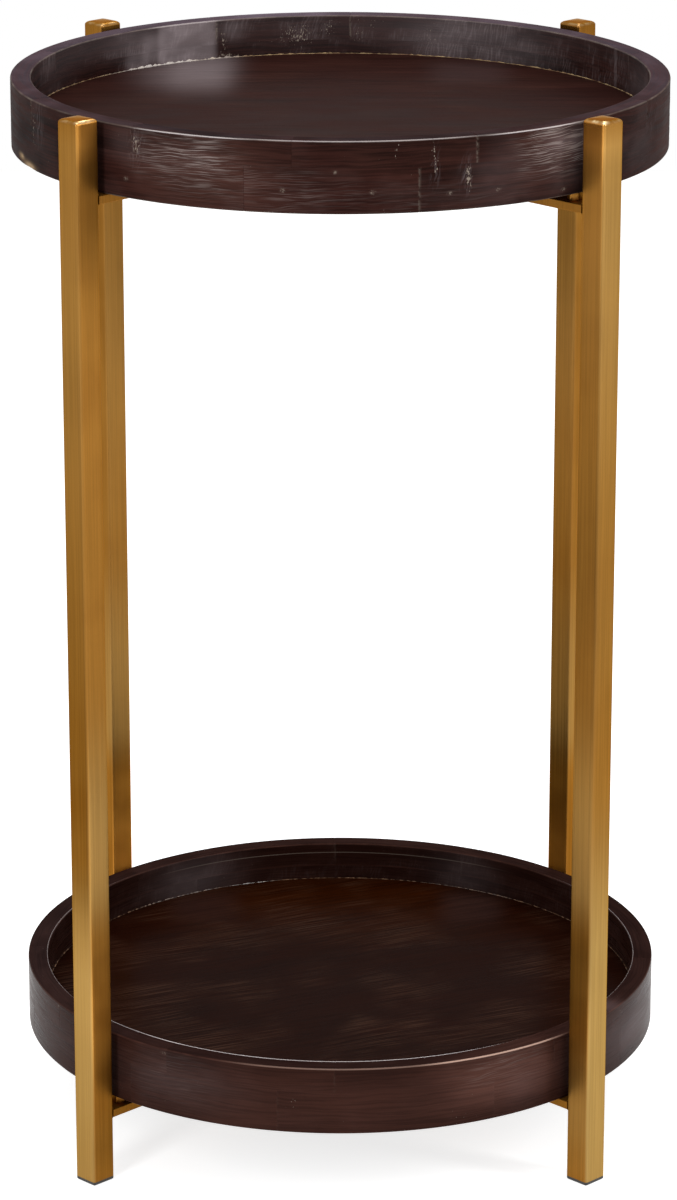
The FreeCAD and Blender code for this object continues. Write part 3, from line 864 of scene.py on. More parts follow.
ring = stored(graph, ring, "rim_uv", graph.vector(uv_arc, uv_y), "FLOAT2", "CORNER")
ring = stored(graph, ring, "joint_mark", joint_mark)
ring = graph.add("GeometryNodeSetPosition", {"Geometry": ring, "Position": place})[0]
realized(graph, ring, given, result)

# %% [markdown]
# ## Damage and painted light, place by place
# Noise gives the general roughness, but the marks that someone remembers a thing by are
# single events: a cluster of torn end grain here, a chip there. They are short lists of
# places, sorted by what they are and by the face that they lie on. The same lists paint
# light into the colour: sheen and warm sheen where reflections fall, silver highlight
# streaks, glints on edges and the inner lip, and less sheen where a strength is negative.
# The function walks over the vertices and adds a soft spot of the right attribute.

# %% Helper: worn places and painted light
BOTH = "both"
# kind of mark: the attribute that it goes into, and how abruptly it ends
SPOTS = {"tearout": ("tearout", 2), "haze_and_sheen": ("haze_and_sheen", 14), "soft_sheen": ("haze_and_sheen", 2), "sheen_blot": ("haze_and_sheen", 4),
         "streak": ("streak", 3), "warm_sheen": ("warm_sheen", 3), "scrape": ("scrape", 3), "edge_glint": ("edge_glint", 6),
         "lip_glint": ("lip_glint", 6), "line": ("line", 8), "fleck": ("fleck", 2), "raw": ("raw", 2)}
RIM_TOP_LEVEL, WALL_MARK_LEVEL = 40.3, 39
FADED = 3
DENT_FROM, DENT_DEPTH, DENT_GRAIN = 0.02, 0.9 * MM, 900


def wear_and_light(piece, base, marks):
    """Adds the spots' attributes; raw ones are also dented. Marks on a wall stop at its edge."""
    masks = {title: [0.0] * len(piece.data.vertices) for title, power in SPOTS.values()}
    for vertex in piece.data.vertices:
        x, y, z = vertex.co
        azimuth, level = math.degrees(math.atan2(y, x)), (z - base) / MM
        here = OUTER if math.hypot(x, y) > tray_radius - rim_wall / 2 else INNER
        for (kind, face), places in marks.items():
            if face not in (here, BOTH):
                continue
            title, power = SPOTS[kind]
            for centre, height, half_width, half_height, strength in places:
                along = abs(off_azimuth(azimuth, centre)) / half_width
                upward = abs(level - height) / half_height
                past_wall = level > RIM_TOP_LEVEL and height < WALL_MARK_LEVEL
                if along < FADED and upward < FADED and not past_wall:
                    softly = math.exp(-(along ** power + upward ** power))
                    masks[title][vertex.index] += strength * softly
    for vertex in piece.data.vertices:
        depth = masks["raw"][vertex.index]
        if depth > DENT_FROM:
            x, y, z = vertex.co
            ragged = 0.7 + 0.6 * noise.noise(vertex.co * DENT_GRAIN)
            shrink = 1 - min(depth, 1) * ragged * DENT_DEPTH / math.hypot(x, y)
            vertex.co = (x * shrink, y * shrink, z)
    store(piece, masks)


# %% [markdown]
# ## The rims
# The glue joints are where the table's own joints are, in degrees round the tray. No joint of
# the upper course lies over one of the lower course, and the bottom tray is the same ring
# turned by 24 degrees, as two trays from one batch would be. The marks differ: the upper
# tray is rough and chipped, and the lower one is smooth.

# %% The marks of each tray
# (kind, face): azimuth, millimetres above the tray's underside, half width in degrees, half
# height in millimetres, strength
# besides wear, these lists paint light into the colour: pale sheen and reflections, warm sheen, silver
# highlight streaks, and glints on the edges and the inner lip; negative strengths lessen the sheen
TOP_WEAR_AND_LIGHT = {
    ("tearout", OUTER): (
        (234, 32, 1.2, 8, 0.9), (279.2, 35, 0.6, 5, 0.8), (285.6, 30, 0.7, 13, 0.85),
        (291.5, 19, 0.7, 9, 1.15), (205, 26, 1.4, 12, 0.8), (68, 24, 1.2, 10, 0.8),
        (140, 18, 1.5, 8, 0.8),
    ),
    ("fleck", OUTER): (
        (231.8, 11, 0.3, 0.8, 0.8), (260.5, 12.7, 0.3, 0.8, 0.9), (269.2, 23.4, 0.25, 0.7, 0.7),
        (275.3, 12.2, 0.3, 0.8, 1), (288.2, 9.8, 0.25, 0.7, 0.8), (296.9, 9.4, 0.25, 0.7, 0.7),
        (310.2, 4, 0.3, 0.8, 0.8),
    ),
    ("tearout", INNER): (
        (98.5, 29, 4, 8, 0.95), (112.3, 18.3, 2.2, 2, 1.1), (92, 33, 1.6, 5, 0.75),
        (113.5, 27, 0.7, 9, 1), (86.5, 31, 1, 7, 0.7), (84, 34, 1, 4, 0.7), (72, 30, 2, 8, 0.6),
        (250, 32, 2, 7, 0.7),
    ),
    ("haze_and_sheen", INNER): ((121.6, 28, 6.5, 13, 0.74), (23.8, 30, 0.6, 14, 0.17)),
    ("sheen_blot", INNER): ((129.5, 27, 2.6, 9, 0.5), (133.5, 21, 2.8, 6, 0.42)),
    ("soft_sheen", INNER): (
        (98, 28, 16, 14, 0.09), (133, 33, 7.5, 9, 0.33), (149, 35, 17, 10, 0.13),
        (111.5, 33, 2.6, 7, 0.2), (67, 29, 11, 14, 0.46), (84, 32, 4, 9, 0.05), (162, 24, 9, 9, 0.08),
        (300, 30, 12, 13, 0.1), (45, 30, 10, 14, 0.05), (90, 38, 120, 8, 0.075), (52, 26, 7, 14, 0.18),
        (166, 36, 12, 7, 0.05), (8.5, 25, 9, 14, 0.22),
    ),
    ("scrape", INNER): ((62, 30, 8, 11, 0.5),),
    ("streak", OUTER): (
        (243.5, 28, 8, 14, 0.98), (256, 14, 12, 12, 0.22), (310.5, 31, 7.5, 14, 2.3),
        (280, 8, 20, 8, 0.12), (350, 22, 8, 17, 0.08), (40, 20, 12, 17, 0.8), (110, 24, 9, 17, 0.8),
        (160, 18, 8, 17, 0.6),
    ),
    ("soft_sheen", OUTER): (
        (312, 31, 4.5, 6, 0.36), (298.5, 21, 5.5, 18, 0.09), (331, 14, 6, 10, 0.05),
        (239, 31, 8, 8, 0.02), (281, 32, 15, 9, -0.035), (303.5, 32, 2.6, 8, -0.07),
        (231, 30, 3, 8, 0.1), (311, 14, 4, 10, 0.12),
    ),
    ("soft_sheen", BOTH): (
        (98, 40.5, 95, 0.5, 0.235), (103, 40.5, 12, 0.5, 0.2), (6, 40.5, 50, 0.5, 0.045),
        (178, 40.5, 40, 0.5, 0.04),
    ),
    ("warm_sheen", OUTER): (
        (246, 20, 14, 22, 0.45), (306, 24, 9, 20, 0.3), (120, 24, 40, 20, 0.3), (281, 24, 14, 20, 0.08),
    ),
    ("edge_glint", OUTER): (
        (244, 39.7, 9.5, 0.55, 0.8), (274, 40.4, 19, 0.35, 0.42), (305, 39.7, 9, 0.55, 0.85),
    ),
    ("edge_glint", INNER): ((122, 39.9, 8, 0.6, 0.35),),
    ("lip_glint", INNER): ((270, 40.3, 30, 1.5, 0.05),),
    ("scrape", OUTER): (
        (207.5, 28, 1.6, 11, 1.1), (338, 30, 4, 10, 0.4), (234, 30, 1.6, 10, 1),
        (285.6, 26, 1, 12, 0.8), (291, 19, 1, 10, 1.2), (120, 26, 3, 12, 1.2),
    ),
    ("raw", OUTER): ((198, 4, 1.4, 1.5, 1.1), (202.5, 1, 2.4, 2.2, 1.3)),
}
BOTTOM_WEAR_AND_LIGHT = {
    ("tearout", OUTER): ((262, 20, 1, 6, 0.5), (292, 6, 2.5, 4, 0.45), (331, 35, 0.8, 3, 0.6)),
    ("soft_sheen", OUTER): (
        (337, 20, 13, 16, 0.235), (206, 20, 8, 14, 0.06), (239, 23, 11, 15, 0.075),
        (305, 18, 6, 12, 0.05),
    ),
    ("soft_sheen", INNER): ((122.5, 25, 9, 16, 0.21), (63, 27, 7, 14, 0.13)),
    ("soft_sheen", BOTH): ((180, 40.5, 45, 0.5, 0.025), (328.5, 40.5, 3, 0.5, 0.16)),
    ("warm_sheen", BOTH): ((92, 40.5, 40, 0.5, 0.14), (329.5, 40.5, 3, 0.5, 0.3), (304, 40.5, 13, 0.5, 0.3)),
    ("streak", OUTER): ((300, 32, 9, 12, 0.2), (238, 24, 9, 16, 0.12)),
    ("warm_sheen", OUTER): ((301, 25, 12, 16, 0.8), (262, 16, 34, 18, 0.22), (90, 22, 60, 18, 0.3)),
    ("lip_glint", INNER): (
        (267, 40.3, 33, 1.5, 1.5), (230, 40.3, 10, 1.5, 0.9), (180, 40.3, 38, 1.5, 0.24),
        (0, 40.3, 38, 1.5, 0.24),
    ),
    ("scrape", OUTER): ((345, 20, 3, 12, 0.5),),
    ("fleck", OUTER): ((208.5, 38.5, 0.25, 0.7, 0.5), (237.5, 37.8, 0.5, 0.5, 0.45)),
    ("edge_glint", OUTER): ((299, 40.1, 13, 0.55, 0.8), (270, 40.1, 18, 0.5, 0.25)),
    ("line", INNER): ((92, 34.6, 34, 3, 0.35),),
}
print("marks:", {tier: sum(len(places) for places in marks.values())
                 for tier, marks in (("top", TOP_WEAR_AND_LIGHT), ("bottom", BOTTOM_WEAR_AND_LIGHT))})

# %% The four rim courses
# azimuth: how plainly the joint shows on the outer and on the inner face
UPPER_JOINTS = {18: (0.3, 0.2), 53: (0.5, 0.0), 88: (0.1, 0.6), 115: (0.6, 0.9), 160: (0.2, 0.1),
                204: (0.4, 0.1), 233: (0.1, 0.5), 262: (0.0, 0.2), 293: (0.55, 0.6), 335: (0.2, 0.3)}
LOWER_JOINTS = {30: (0.5, 0.0), 64: (0.1, 0.0), 100: (0.4, 0.0), 145: (0.2, 0.0), 180: (0.5, 0.0),
                218: (0.1, 0.0), 254: (0.0, 0.0), 283: (0.4, 0.0), 322: (0.2, 0.0), 355: (0.3, 0.0)}
COURSES = {"top": {"paleness": 0.75, "turn": 0, "ripple": 0.05 * MM, "lean": 0.018, "wear_and_light": TOP_WEAR_AND_LIGHT},
           "bottom": {"paleness": 0.08, "turn": -24, "ripple": 0.016 * MM, "lean": 0.006,
                      "wear_and_light": BOTTOM_WEAR_AND_LIGHT}}
SHARP_WOOD = 40


def joint_points(name, joints, look, middle_height, dice):
    """The carrier of one course: a point for each stave, holding its numbers."""
    mesh = bpy.data.meshes.new(name)
    mesh.from_pydata([(0, 0, 0)] * len(joints), [], [])
    first = list(joints)
    last = first[1:] + first[:1]
    numbers = {
        "start": [math.radians(joint + look["turn"]) for joint in first],
        "sweep": [math.radians((end - begin) % 360) for begin, end in zip(first, last)],
        "stave_tone": [dice.random() for joint in first],
        "lean": [dice.uniform(-look["lean"], look["lean"]) for joint in first],
        "middle_height": [middle_height for joint in first],
    }
    for number, side in enumerate((OUTER, INNER)):
        for end, places in (("_first", first), ("_last", last)):
            numbers[side + end] = [look["paleness"] * joints[joint][number] for joint in places]
    carrier = new_object(name, mesh)
    store(carrier, numbers)
    return carrier


def rim_course(tier, course, corners, joints, seed):
    name, node, look = f"{tier}_rim_{course}_staves", f"{tier}_rim_{course}_course", COURSES[tier]
    stave = straight_stave(corners, JOINT_EASE[tier])
    middle_height = (low(node) + high(node)) / 2
    carrier = joint_points(name + "_points", joints, look, middle_height, random.Random(seed))
    ring = grown(name, carrier, ring_of_staves, {
        "Stave": stave, "Radius": tray_radius, "Ripple depth": look["ripple"],
        "Seed": float(seed), "Material": rim_wood[tier]})
    bpy.data.objects.remove(stave)
    sharpen(ring, SHARP_WOOD)
    ring.data.materials.append(rim_top_wood[tier])
    flat_top = ring.data.attributes[TOP].data
    for face in ring.data.polygons:
        if all(flat_top[index].value > 0.9 for index in face.vertices):
            face.material_index = len(ring.data.materials) - 1
    wear_and_light(ring, levels[tier]["base"], look["wear_and_light"])
    on_body(ring, "stained_wood", node)


for seed, tier in enumerate(TIERS):
    rim_course(tier, "upper", upper_stave_corners(tier), UPPER_JOINTS, 11 + seed)
    rim_course(tier, "lower", lower_stave_corners(tier), LOWER_JOINTS, 21 + seed)

# %% [markdown]
# ## The floors
# A floor is a round board whose edge is cut down to a tongue. Anything round is quickest to
# turn: a profile from the axis out and back is spun into rings of vertices. A machined board
# is flat to a tenth of a millimetre, but that tenth is what bends the reflections in the
# lacquer, so the top gets a slow, very small wave.

# %% The two floors
FLOOR_SEGMENTS = 288
FLOOR_EDGE_ROUNDING = 0.4 * MM
FLOOR_WAVE = {"top": 0.05 * MM, "bottom": 0.025 * MM}
# the wave's number of hills in a metre, from side to side and from front to back
WAVE_ASIDE, WAVE_DEEP = 14, 34
CALM_EDGE = 10 * MM
UNDER_STEP, TOP_STEP = 12 * MM, 4 * MM
# painted reflections on each floor, where the inner wall is mirrored:
# in millimetres: x, y, half width, half depth; then strength
FLOOR_SHEEN_SPOTS = {"top": ((-84, 126, 19, 68, 0.21), (-90, 127, 27, 64, 0.19), (-95, 132, 34, 54, 0.11),
                  (78, 118, 24, 36, 0.05)),
          "bottom": ((-86, 130, 22, 30, 0.035), (84, 128, 20, 30, 0.05))}


def spaced(start, stop, step):
    """Numbers from start to stop in nearly equal steps, both ends included."""
    parts = max(1, round(abs(stop - start) / step))
    return [start + (stop - start) * k / parts for k in range(parts + 1)]


def with_painted_sheen(piece, blooms, lowest=0.0):
    """Soft pale patches of painted reflection in the lacquer, as an attribute. Vertices under lowest
    get none.
    """
    haze_and_sheen = [0.0] * len(piece.data.vertices)
    for vertex in piece.data.vertices:
        for x, y, half_width, half_depth, strength in blooms if vertex.co.z > lowest else ():
            across = abs(vertex.co.x / MM - x) / half_width
            deep = abs(vertex.co.y / MM - y) / half_depth
            if across < FADED and deep < FADED:
                haze_and_sheen[vertex.index] += strength * math.exp(-(across ** 4 + deep ** 3))
    store(piece, {"haze_and_sheen": haze_and_sheen})


def floor_board(tier):
    under, top = levels[tier]["floor_under"], levels[tier]["floor_top"]
    tongue_top = top - tongue_drop
    profile = [(r, under) for r in spaced(0, tongue_radius, UNDER_STEP)]
    profile += [(tongue_radius, tongue_top), (floor_radius, tongue_top)]
    profile += [(floor_radius, top - FLOOR_EDGE_ROUNDING), (floor_radius - FLOOR_EDGE_ROUNDING, top)]
    profile += [(r, top) for r in spaced(floor_radius - TOP_STEP / 2, 0, TOP_STEP)]
    work = bmesh.new()
    rings = [circle(work, radius, height, FLOOR_SEGMENTS) for radius, height in profile]
    for here, there in zip(rings, rings[1:]):
        bridge(work, here, there)
    board = built(tier + "_floor_board", work)
    for vertex in board.data.vertices:
        if vertex.co.z > top - 0.01 * MM:
            calm = min(1.0, (floor_radius - math.hypot(vertex.co.x, vertex.co.y)) / CALM_EDGE)
            wave = noise.noise(Vector((vertex.co.x * WAVE_ASIDE, vertex.co.y * WAVE_DEEP, top)))
            vertex.co.z += (wave - 0.4) * FLOOR_WAVE[tier] * max(0.0, calm)
    board.data.materials.append(floor_wood[tier])
    with_painted_sheen(board, FLOOR_SHEEN_SPOTS[tier], top - 1 * MM)
    sharpen(board, SHARP_WOOD)
    on_body(board, "stained_panel", tier + "_floor_panel")


for tier in TIERS:
    floor_board(tier)

# %% [markdown]
# ## The line of glue round each floor
# Where a floor meets its rim there is a fine bead of squeezed-out glue and lacquer. On the
# upper tray it is tan and lumpy, and on the lower one it breaks into bright dots. A bead
# follows a path, so it is a job for Geometry Nodes: a circle, a radius that noise varies,
# and a round profile swept along it.

# %% Tree: seam bead
graph, given, result = new_group("seam_bead", "GeometryNodeTree", {
    "Geometry": (GEOMETRY, None), "Seam radius": (FLOAT, 0.178), "Height": (FLOAT, 0.0),
    "Bead radius": (FLOAT, 0.4 * MM), "Least share": (FLOAT, 0.3), "Lump length": (FLOAT, 6 * MM),
    "Wander": (FLOAT, 0.2 * MM), "Swell angle": (FLOAT, 2.16), "Swell width": (FLOAT, 0.2),
    "Swell share": (FLOAT, 0.0), "Seed": (FLOAT, 0.0), "Material": (MATERIAL, None),
}, {"Geometry": GEOMETRY})
seam_bead = graph.tree
path = graph.add("GeometryNodeCurvePrimitiveCircle",
                 {"Resolution": 1400, "Radius": given["Seam radius"]})["Curve"]
here = graph.add("GeometryNodeInputPosition")[0]
flat_x, flat_y, nothing = graph.parts(here)
shift = graph.vector(given["Seed"])
shifted = graph.add("ShaderNodeVectorMath", {0: here, 1: shift}, operation="ADD")[0]
lumps = graph.cloud(shifted, 3.0, 1.0 / given["Lump length"])
slow = graph.cloud(shifted, 1.0, 1 / (25 * MM))
share = graph.remap(lumps, 0.38, 0.68, given["Least share"], 1.0)
off_swell = abs(graph.maths("ARCTAN2", flat_y, flat_x) - given["Swell angle"]) / given["Swell width"]
swell = graph.remap(off_swell, 0.7, 1.3, given["Swell share"], 0.0)
thickness = share * given["Bead radius"] * graph.remap(slow, 0.35, 0.6, 0.7, 1.25) * (swell + 1.0)
rise = graph.vector(z=given["Height"] + (slow - 0.5) * given["Wander"])
path = graph.add("GeometryNodeSetPosition", {"Geometry": path, "Offset": rise})[0]
profile = graph.add("GeometryNodeCurvePrimitiveCircle", {"Resolution": 7, "Radius": 1.0})["Curve"]
bead = graph.add("GeometryNodeCurveToMesh",
                 {"Curve": path, "Profile Curve": profile, "Scale": thickness})[0]
realized(graph, bead, given, result)

# %% The two glue lines
SEAM_INSET = 0.1 * MM
SEAMS = {
    "top": {"Bead radius": 0.58 * MM, "Least share": 0.2, "Lump length": 3.2 * MM, "Seed": 2.0,
            "Swell angle": 2.13, "Swell width": 0.24, "Swell share": 1.3},
    "bottom": {"Bead radius": 0.36 * MM, "Least share": 0.05, "Lump length": 2.2 * MM, "Seed": 5.0},
}
# painted highlights along the glue beads, as pale patches
SEAM_SHEEN_SPOTS = {"top": ((-109, 142, 33, 30, 0.75), (-70, 165, 10, 20, 0.3)),
               "bottom": ((-58, 168, 14, 25, 0.9), (-104, 148, 26, 25, 0.35), (84, 158, 40, 20, 0.15))}
for tier in TIERS:
    name = tier + "_seam_glue"
    bead = grown(name, new_object(name + "_carrier", bpy.data.meshes.new(name)), seam_bead, {
        "Seam radius": inner_radius - SEAM_INSET, "Height": levels[tier]["floor_top"],
        "Material": seam_glue[tier], **SEAMS[tier]})
    with_painted_sheen(bead, SEAM_SHEEN_SPOTS[tier])
    on_body(bead, "stained_wood")

# %% [markdown]
# ## The legs
# A leg is a square tube with rolled corners and a plate welded over its top, ground round and
# painted over. A cube with a bevel would do from afar. Up close a rolled tube's faces are
# very slightly crowned, which turns a dead flat reflection into a soft one, so the section is
# drawn point by point: a corner arc, then a face that bulges by a few hundredths of a
# millimetre.

# %% Helper: a rolled square section
LEG_SIDE = 16 * MM
LEG_CORNER = 1.5 * MM
LEG_WALL = 1.2 * MM
BORE_CORNER = 0.2 * MM
FACE_CROWN = 0.05 * MM
FOOT_EASE = 0.1 * MM
CORNER_STEPS, FACE_STEPS = 7, 6
cap_base, tube_base = low("leg_cap_front_left"), low("leg_front_left")


def square_section(side, corner, crown):
    """Points (x, y) round a square with rounded corners and bulging faces."""
    flat_half = side / 2 - corner
    points = []
    for turn in (math.radians(90 * quarter) for quarter in range(4)):
        for step in range(CORNER_STEPS):
            angle = math.radians(90 * step / (CORNER_STEPS - 1))
            x, y = flat_half + corner * math.cos(angle), flat_half + corner * math.sin(angle)
            points.append((turn, x, y))
        for share in (step / FACE_STEPS for step in range(1, FACE_STEPS)):
            bulge = crown * math.sin(math.pi * share)
            points.append((turn, flat_half - 2 * flat_half * share, side / 2 + bulge))
    return [(x * math.cos(turn) - y * math.sin(turn), x * math.sin(turn) + y * math.cos(turn))
            for turn, x, y in points]


def skinned(name, loops, endless=False):
    """A skin through loops of equally many points, endless or closed by a face at each end."""
    work = bmesh.new()
    rings = [[work.verts.new(point) for point in loop] for loop in loops]
    for here, there in zip(rings, rings[1:] + rings[:1] if endless else rings[1:]):
        bridge(work, here, there)
    if not endless:
        work.faces.new(reversed(rings[0]))
        work.faces.new(rings[-1])
    return built(name, work)


def leg_centre(place):
    node = "leg_" + place
    return Vector(((low(node, 0) + high(node, 0)) / 2, (low(node, 1) + high(node, 1)) / 2, 0))


# %% [markdown]
# The legs are what the light rakes along, and light and shade are painted into their coat.
# Lighter, darker and paler places of painted light, shade and reflection are lists again,
# sorted by the leg and by the way that its face looks. Each vertex sums up the places near
# it, and the paint reads the sums as attributes.

# %% Painted light and shade on each leg
# (leg, azimuth of the face): height and half height in metres, how much lighter painted light makes the
# coat, or darker painted shade where it is negative
PAINTED_TONES = {
    ("front_left", 225): (
        (0.27, 0.09, -0.3), (0.205, 0.045, -0.08), (0.183, 0.015, -0.12), (0.39, 0.08, -0.08),
        (0.585, 0.055, 0.16), (0.125, 0.045, 0.1),
    ),
    ("front_left", 315): (
        (0.629, 0.012, 1.2), (0.578, 0.03, -0.28), (0.48, 0.06, 0.12), (0.195, 0.035, 0.22),
        (0.108, 0.032, 0.86), (0.02, 0.016, -0.16),
    ),
    ("front_right", 225): (
        (0.624, 0.017, 1.3), (0.575, 0.03, 0.18), (0.38, 0.085, -0.3), (0.283, 0.03, -0.1),
        (0.142, 0.025, -0.28), (0.095, 0.02, 0.25), (0.035, 0.03, 0.05),
    ),
    ("front_right", 315): ((0.627, 0.014, 0.4), (0.56, 0.1, 0.12), (0.32, 0.18, -0.08)),
    ("back_right", 225): (
        (0.2, 0.16, -0.35), (0.5, 0.05, -0.25), (0.165, 0.02, -0.2), (0.095, 0.028, 1.5),
    ),
    ("back_left", 315): ((0.5, 0.05, -0.15), (0.14, 0.016, 0.5), (0.095, 0.03, 3)),
    ("back_left", 45): ((0.3, 0.09, -0.25),),
    ("back_left", 135): ((0.42, 0.07, 0.15),),
    ("back_right", 45): ((0.35, 0.08, -0.2),),
}
# the same, for how much paler painted reflection makes the coat
PAINTED_PALENESS = {
    ("front_left", 225): (
        (0.49, 0.12, 0.1), (0.23, 0.055, -0.38), (0.196, 0.014, -0.15), (0.158, 0.018, 0.15),
        (0.02, 0.03, -0.12),
    ),
    ("front_left", 315): ((0.215, 0.06, 0.15),),
    ("front_right", 225): ((0.55, 0.06, 0.11), (0.045, 0.03, 0.35)),
    ("front_right", 315): ((0.575, 0.035, 0.1), (0.34, 0.05, 0.12), (0.2, 0.05, 0.12)),
    ("back_left", 315): ((0.45, 0.12, 0.25),),
    ("back_right", 225): ((0.46, 0.08, 0.2), (0.24, 0.06, -0.2)),
}
# how much the outward face counts on one leg, low down and high up
OUTWARD_SHARE = {"front_left": (0.82, 0.33)}
SHARE_FROM, SHARE_RISE = 0.13, 0.09
FACE_EDGE = 0.82
POLISH_HALF = 2 * MM
CORNER_LINE_DEPTH = -9 * MM
# leg: height, half height, how dark the painted shade line and how bright the painted highlight line
# along its front corner are
CORNER_LIGHT_LINES = {"front_left": ((0.190, 0.110, 0.16, 0.42), (0.500, 0.200, 0.10, 0.05)),
                "front_right": ((0.400, 0.260, 0.24, 0.00), (0.170, 0.120, 0.05, 0.13))}


def held(value):
    return min(1.0, max(0.0, value))


def facing(offset, azimuth):
    """1 on the face that looks towards an azimuth, fading over its corners."""
    way = Vector((math.cos(math.radians(azimuth)), math.sin(math.radians(azimuth)), 0))
    return held((offset.dot(way) / (LEG_SIDE / 2) - FACE_EDGE) / (1 - FACE_EDGE))


def painted_places(table, place, offset, height):
    return sum(strength * facing(offset, azimuth) * near(height - middle, half)
               for (leg, azimuth), spots in table.items() if leg == place
               for middle, half, strength in spots)


def painted_corner_lines(place, offset, height):
    if offset.y > CORNER_LINE_DEPTH:
        return 0.0
    corner_shade, corner_glint = near(offset.x + 0.62 * MM, 0.35 * MM), near(offset.x - 0.5 * MM, 0.4 * MM)
    return sum((corner_glint * bright - corner_shade * dark) * near(height - middle, half)
               for middle, half, dark, bright in CORNER_LIGHT_LINES.get(place, ()))


def set_up(piece, place, sharp, node):
    """Moves a mesh made about the Z axis to its leg, a face to the table's axis, and paints it."""
    centre = leg_centre(place)
    turn = math.atan2(centre.y, centre.x)
    piece.data.transform(Matrix.Translation(centre) @ Matrix.Rotation(turn, 4, "Z"))
    piece.data.materials.append(leg_gold)
    below, above = OUTWARD_SHARE.get(place, (1.0, 1.0))
    marks = {"outward": [], "painted_pale": [], "tone": [], "polish": []}
    for vertex in piece.data.vertices:
        offset, height = vertex.co - centre, vertex.co.z
        share = below + (above - below) * held((height - SHARE_FROM) / SHARE_RISE)
        marks["outward"].append(facing(offset, math.degrees(turn)) * share)
        marks["painted_pale"].append(painted_places(PAINTED_PALENESS, place, offset, height))
        marks["tone"].append(painted_places(PAINTED_TONES, place, offset, height)
                             + painted_corner_lines(place, offset, height))
        marks["polish"].append(held((height - cap_base + POLISH_HALF) / (2 * POLISH_HALF)))
    store(piece, marks)
    sharpen(piece, sharp)
    on_body(piece, "gold_paint", node)


# %% Legs and caps
CAP_ROUNDING = 2.15 * MM
CAP_REACH = 2.8 * MM
CAP_STEPS = 8
CAP_DOME = 0.25 * MM
CAP_RUB = 0.22
TUBE_FIRST, TUBE_STEP = 20 * MM, 12 * MM
SHARP_TUBE, SHARP_CAP = 40, 60
# leg: azimuth about the leg, half width in degrees, how much brighter the rub is there, as a painted
# glint
CAP_PAINTED_GLINTS = {"front_left": ((305, 28, 0.75),), "front_right": ((230, 11, 1.0), (273, 10, 1.1))}


def at_height(points, height):
    return [(x, y, height) for x, y in points]


def leg_tube(place):
    """Up the outside, over the open top end, and down the bore."""
    outside = square_section(LEG_SIDE, LEG_CORNER, FACE_CROWN)
    bore = square_section(LEG_SIDE - 2 * LEG_WALL, BORE_CORNER, 0)
    eased = square_section(LEG_SIDE - 2 * FOOT_EASE, LEG_CORNER - FOOT_EASE, FACE_CROWN)
    loops = [at_height(eased, tube_base)]
    for height in [tube_base + FOOT_EASE] + spaced(tube_base + TUBE_FIRST, cap_base, TUBE_STEP):
        loops.append(at_height(outside, height))
    loops += [at_height(bore, cap_base), at_height(bore, tube_base)]
    set_up(skinned(f"leg_{place}_tube", loops, endless=True), place, SHARP_TUBE, "leg_" + place)


def leg_cap(place):
    """The ground plate: its wall turns into the top over a flat quarter round, and the top domes."""
    shoulder = table_height - CAP_DOME
    section = square_section(LEG_SIDE, LEG_CORNER, FACE_CROWN)
    loops, rubs = [at_height(section, cap_base)], [0.0]
    for angle in (math.radians(90 * step / CAP_STEPS) for step in range(CAP_STEPS + 1)):
        shrink = CAP_REACH * (1 - math.cos(angle))
        section = square_section(LEG_SIDE - 2 * shrink, LEG_CORNER, FACE_CROWN)
        loops.append(at_height(section, shoulder - CAP_ROUNDING * (1 - math.sin(angle))))
        rubs.append(math.sin(2 * angle) ** 2)
    for share in (0.8, 0.55, 0.3, 0.1):
        loops.append(at_height([(x * share, y * share) for x, y in section],
                               shoulder + CAP_DOME * (1 - share * share)))
        rubs.append(0.0)
    cap = skinned(f"leg_cap_{place}_plate", loops)
    turn = math.degrees(math.atan2(leg_centre(place).y, leg_centre(place).x))
    rubbed_and_glint = []
    for index, vertex in enumerate(cap.data.vertices):
        azimuth = math.degrees(math.atan2(vertex.co.y, vertex.co.x)) + turn
        sparks = sum(strength * near(off_azimuth(azimuth, middle), half)
                     for middle, half, strength in CAP_PAINTED_GLINTS.get(place, ()))
        rubbed_and_glint.append(rubs[index // len(section)] * (CAP_RUB + sparks))
    store(cap, {"rubbed_and_glint": rubbed_and_glint})
    set_up(cap, place, SHARP_CAP, "leg_cap_" + place)


for place in LEGS:
    leg_tube(place)
    leg_cap(place)

# %% [markdown]
# ## Bars and foot plugs from the frame
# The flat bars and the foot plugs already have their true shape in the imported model, down to
# the countersinks, so their solids stay and only take a finish. A node's mesh is never
# changed, only what its material slots hold.

# %% Finishes for the carried-over nodes
CARRIED_OVER = {f"{which}_frame_{tier}_bar": frame_gold
                for which in ("outer", "inner") for tier in TIERS}
CARRIED_OVER.update({"foot_plug_" + place: black_plastic for place in LEGS})
CARRIED_OVER.update({tier + "_centre_washer": zinc for tier in TIERS})
for node, material in CARRIED_OVER.items():
    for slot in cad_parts[node].material_slots:
        slot.material = material
    print(node, "takes", material.name)

# %% [markdown]
# ## The welds
# Each bar is welded to its leg above and below. A weld is a puddle that freezes again and
# again as the torch moves on, which leaves small ripples, like coins pushed over. That is a
# shape that follows a path and repeats: a short line, a radius that rises and falls along
# it, and a round profile. The bead is then copied to every place where a bar ends, on points
# that each carry a turn.

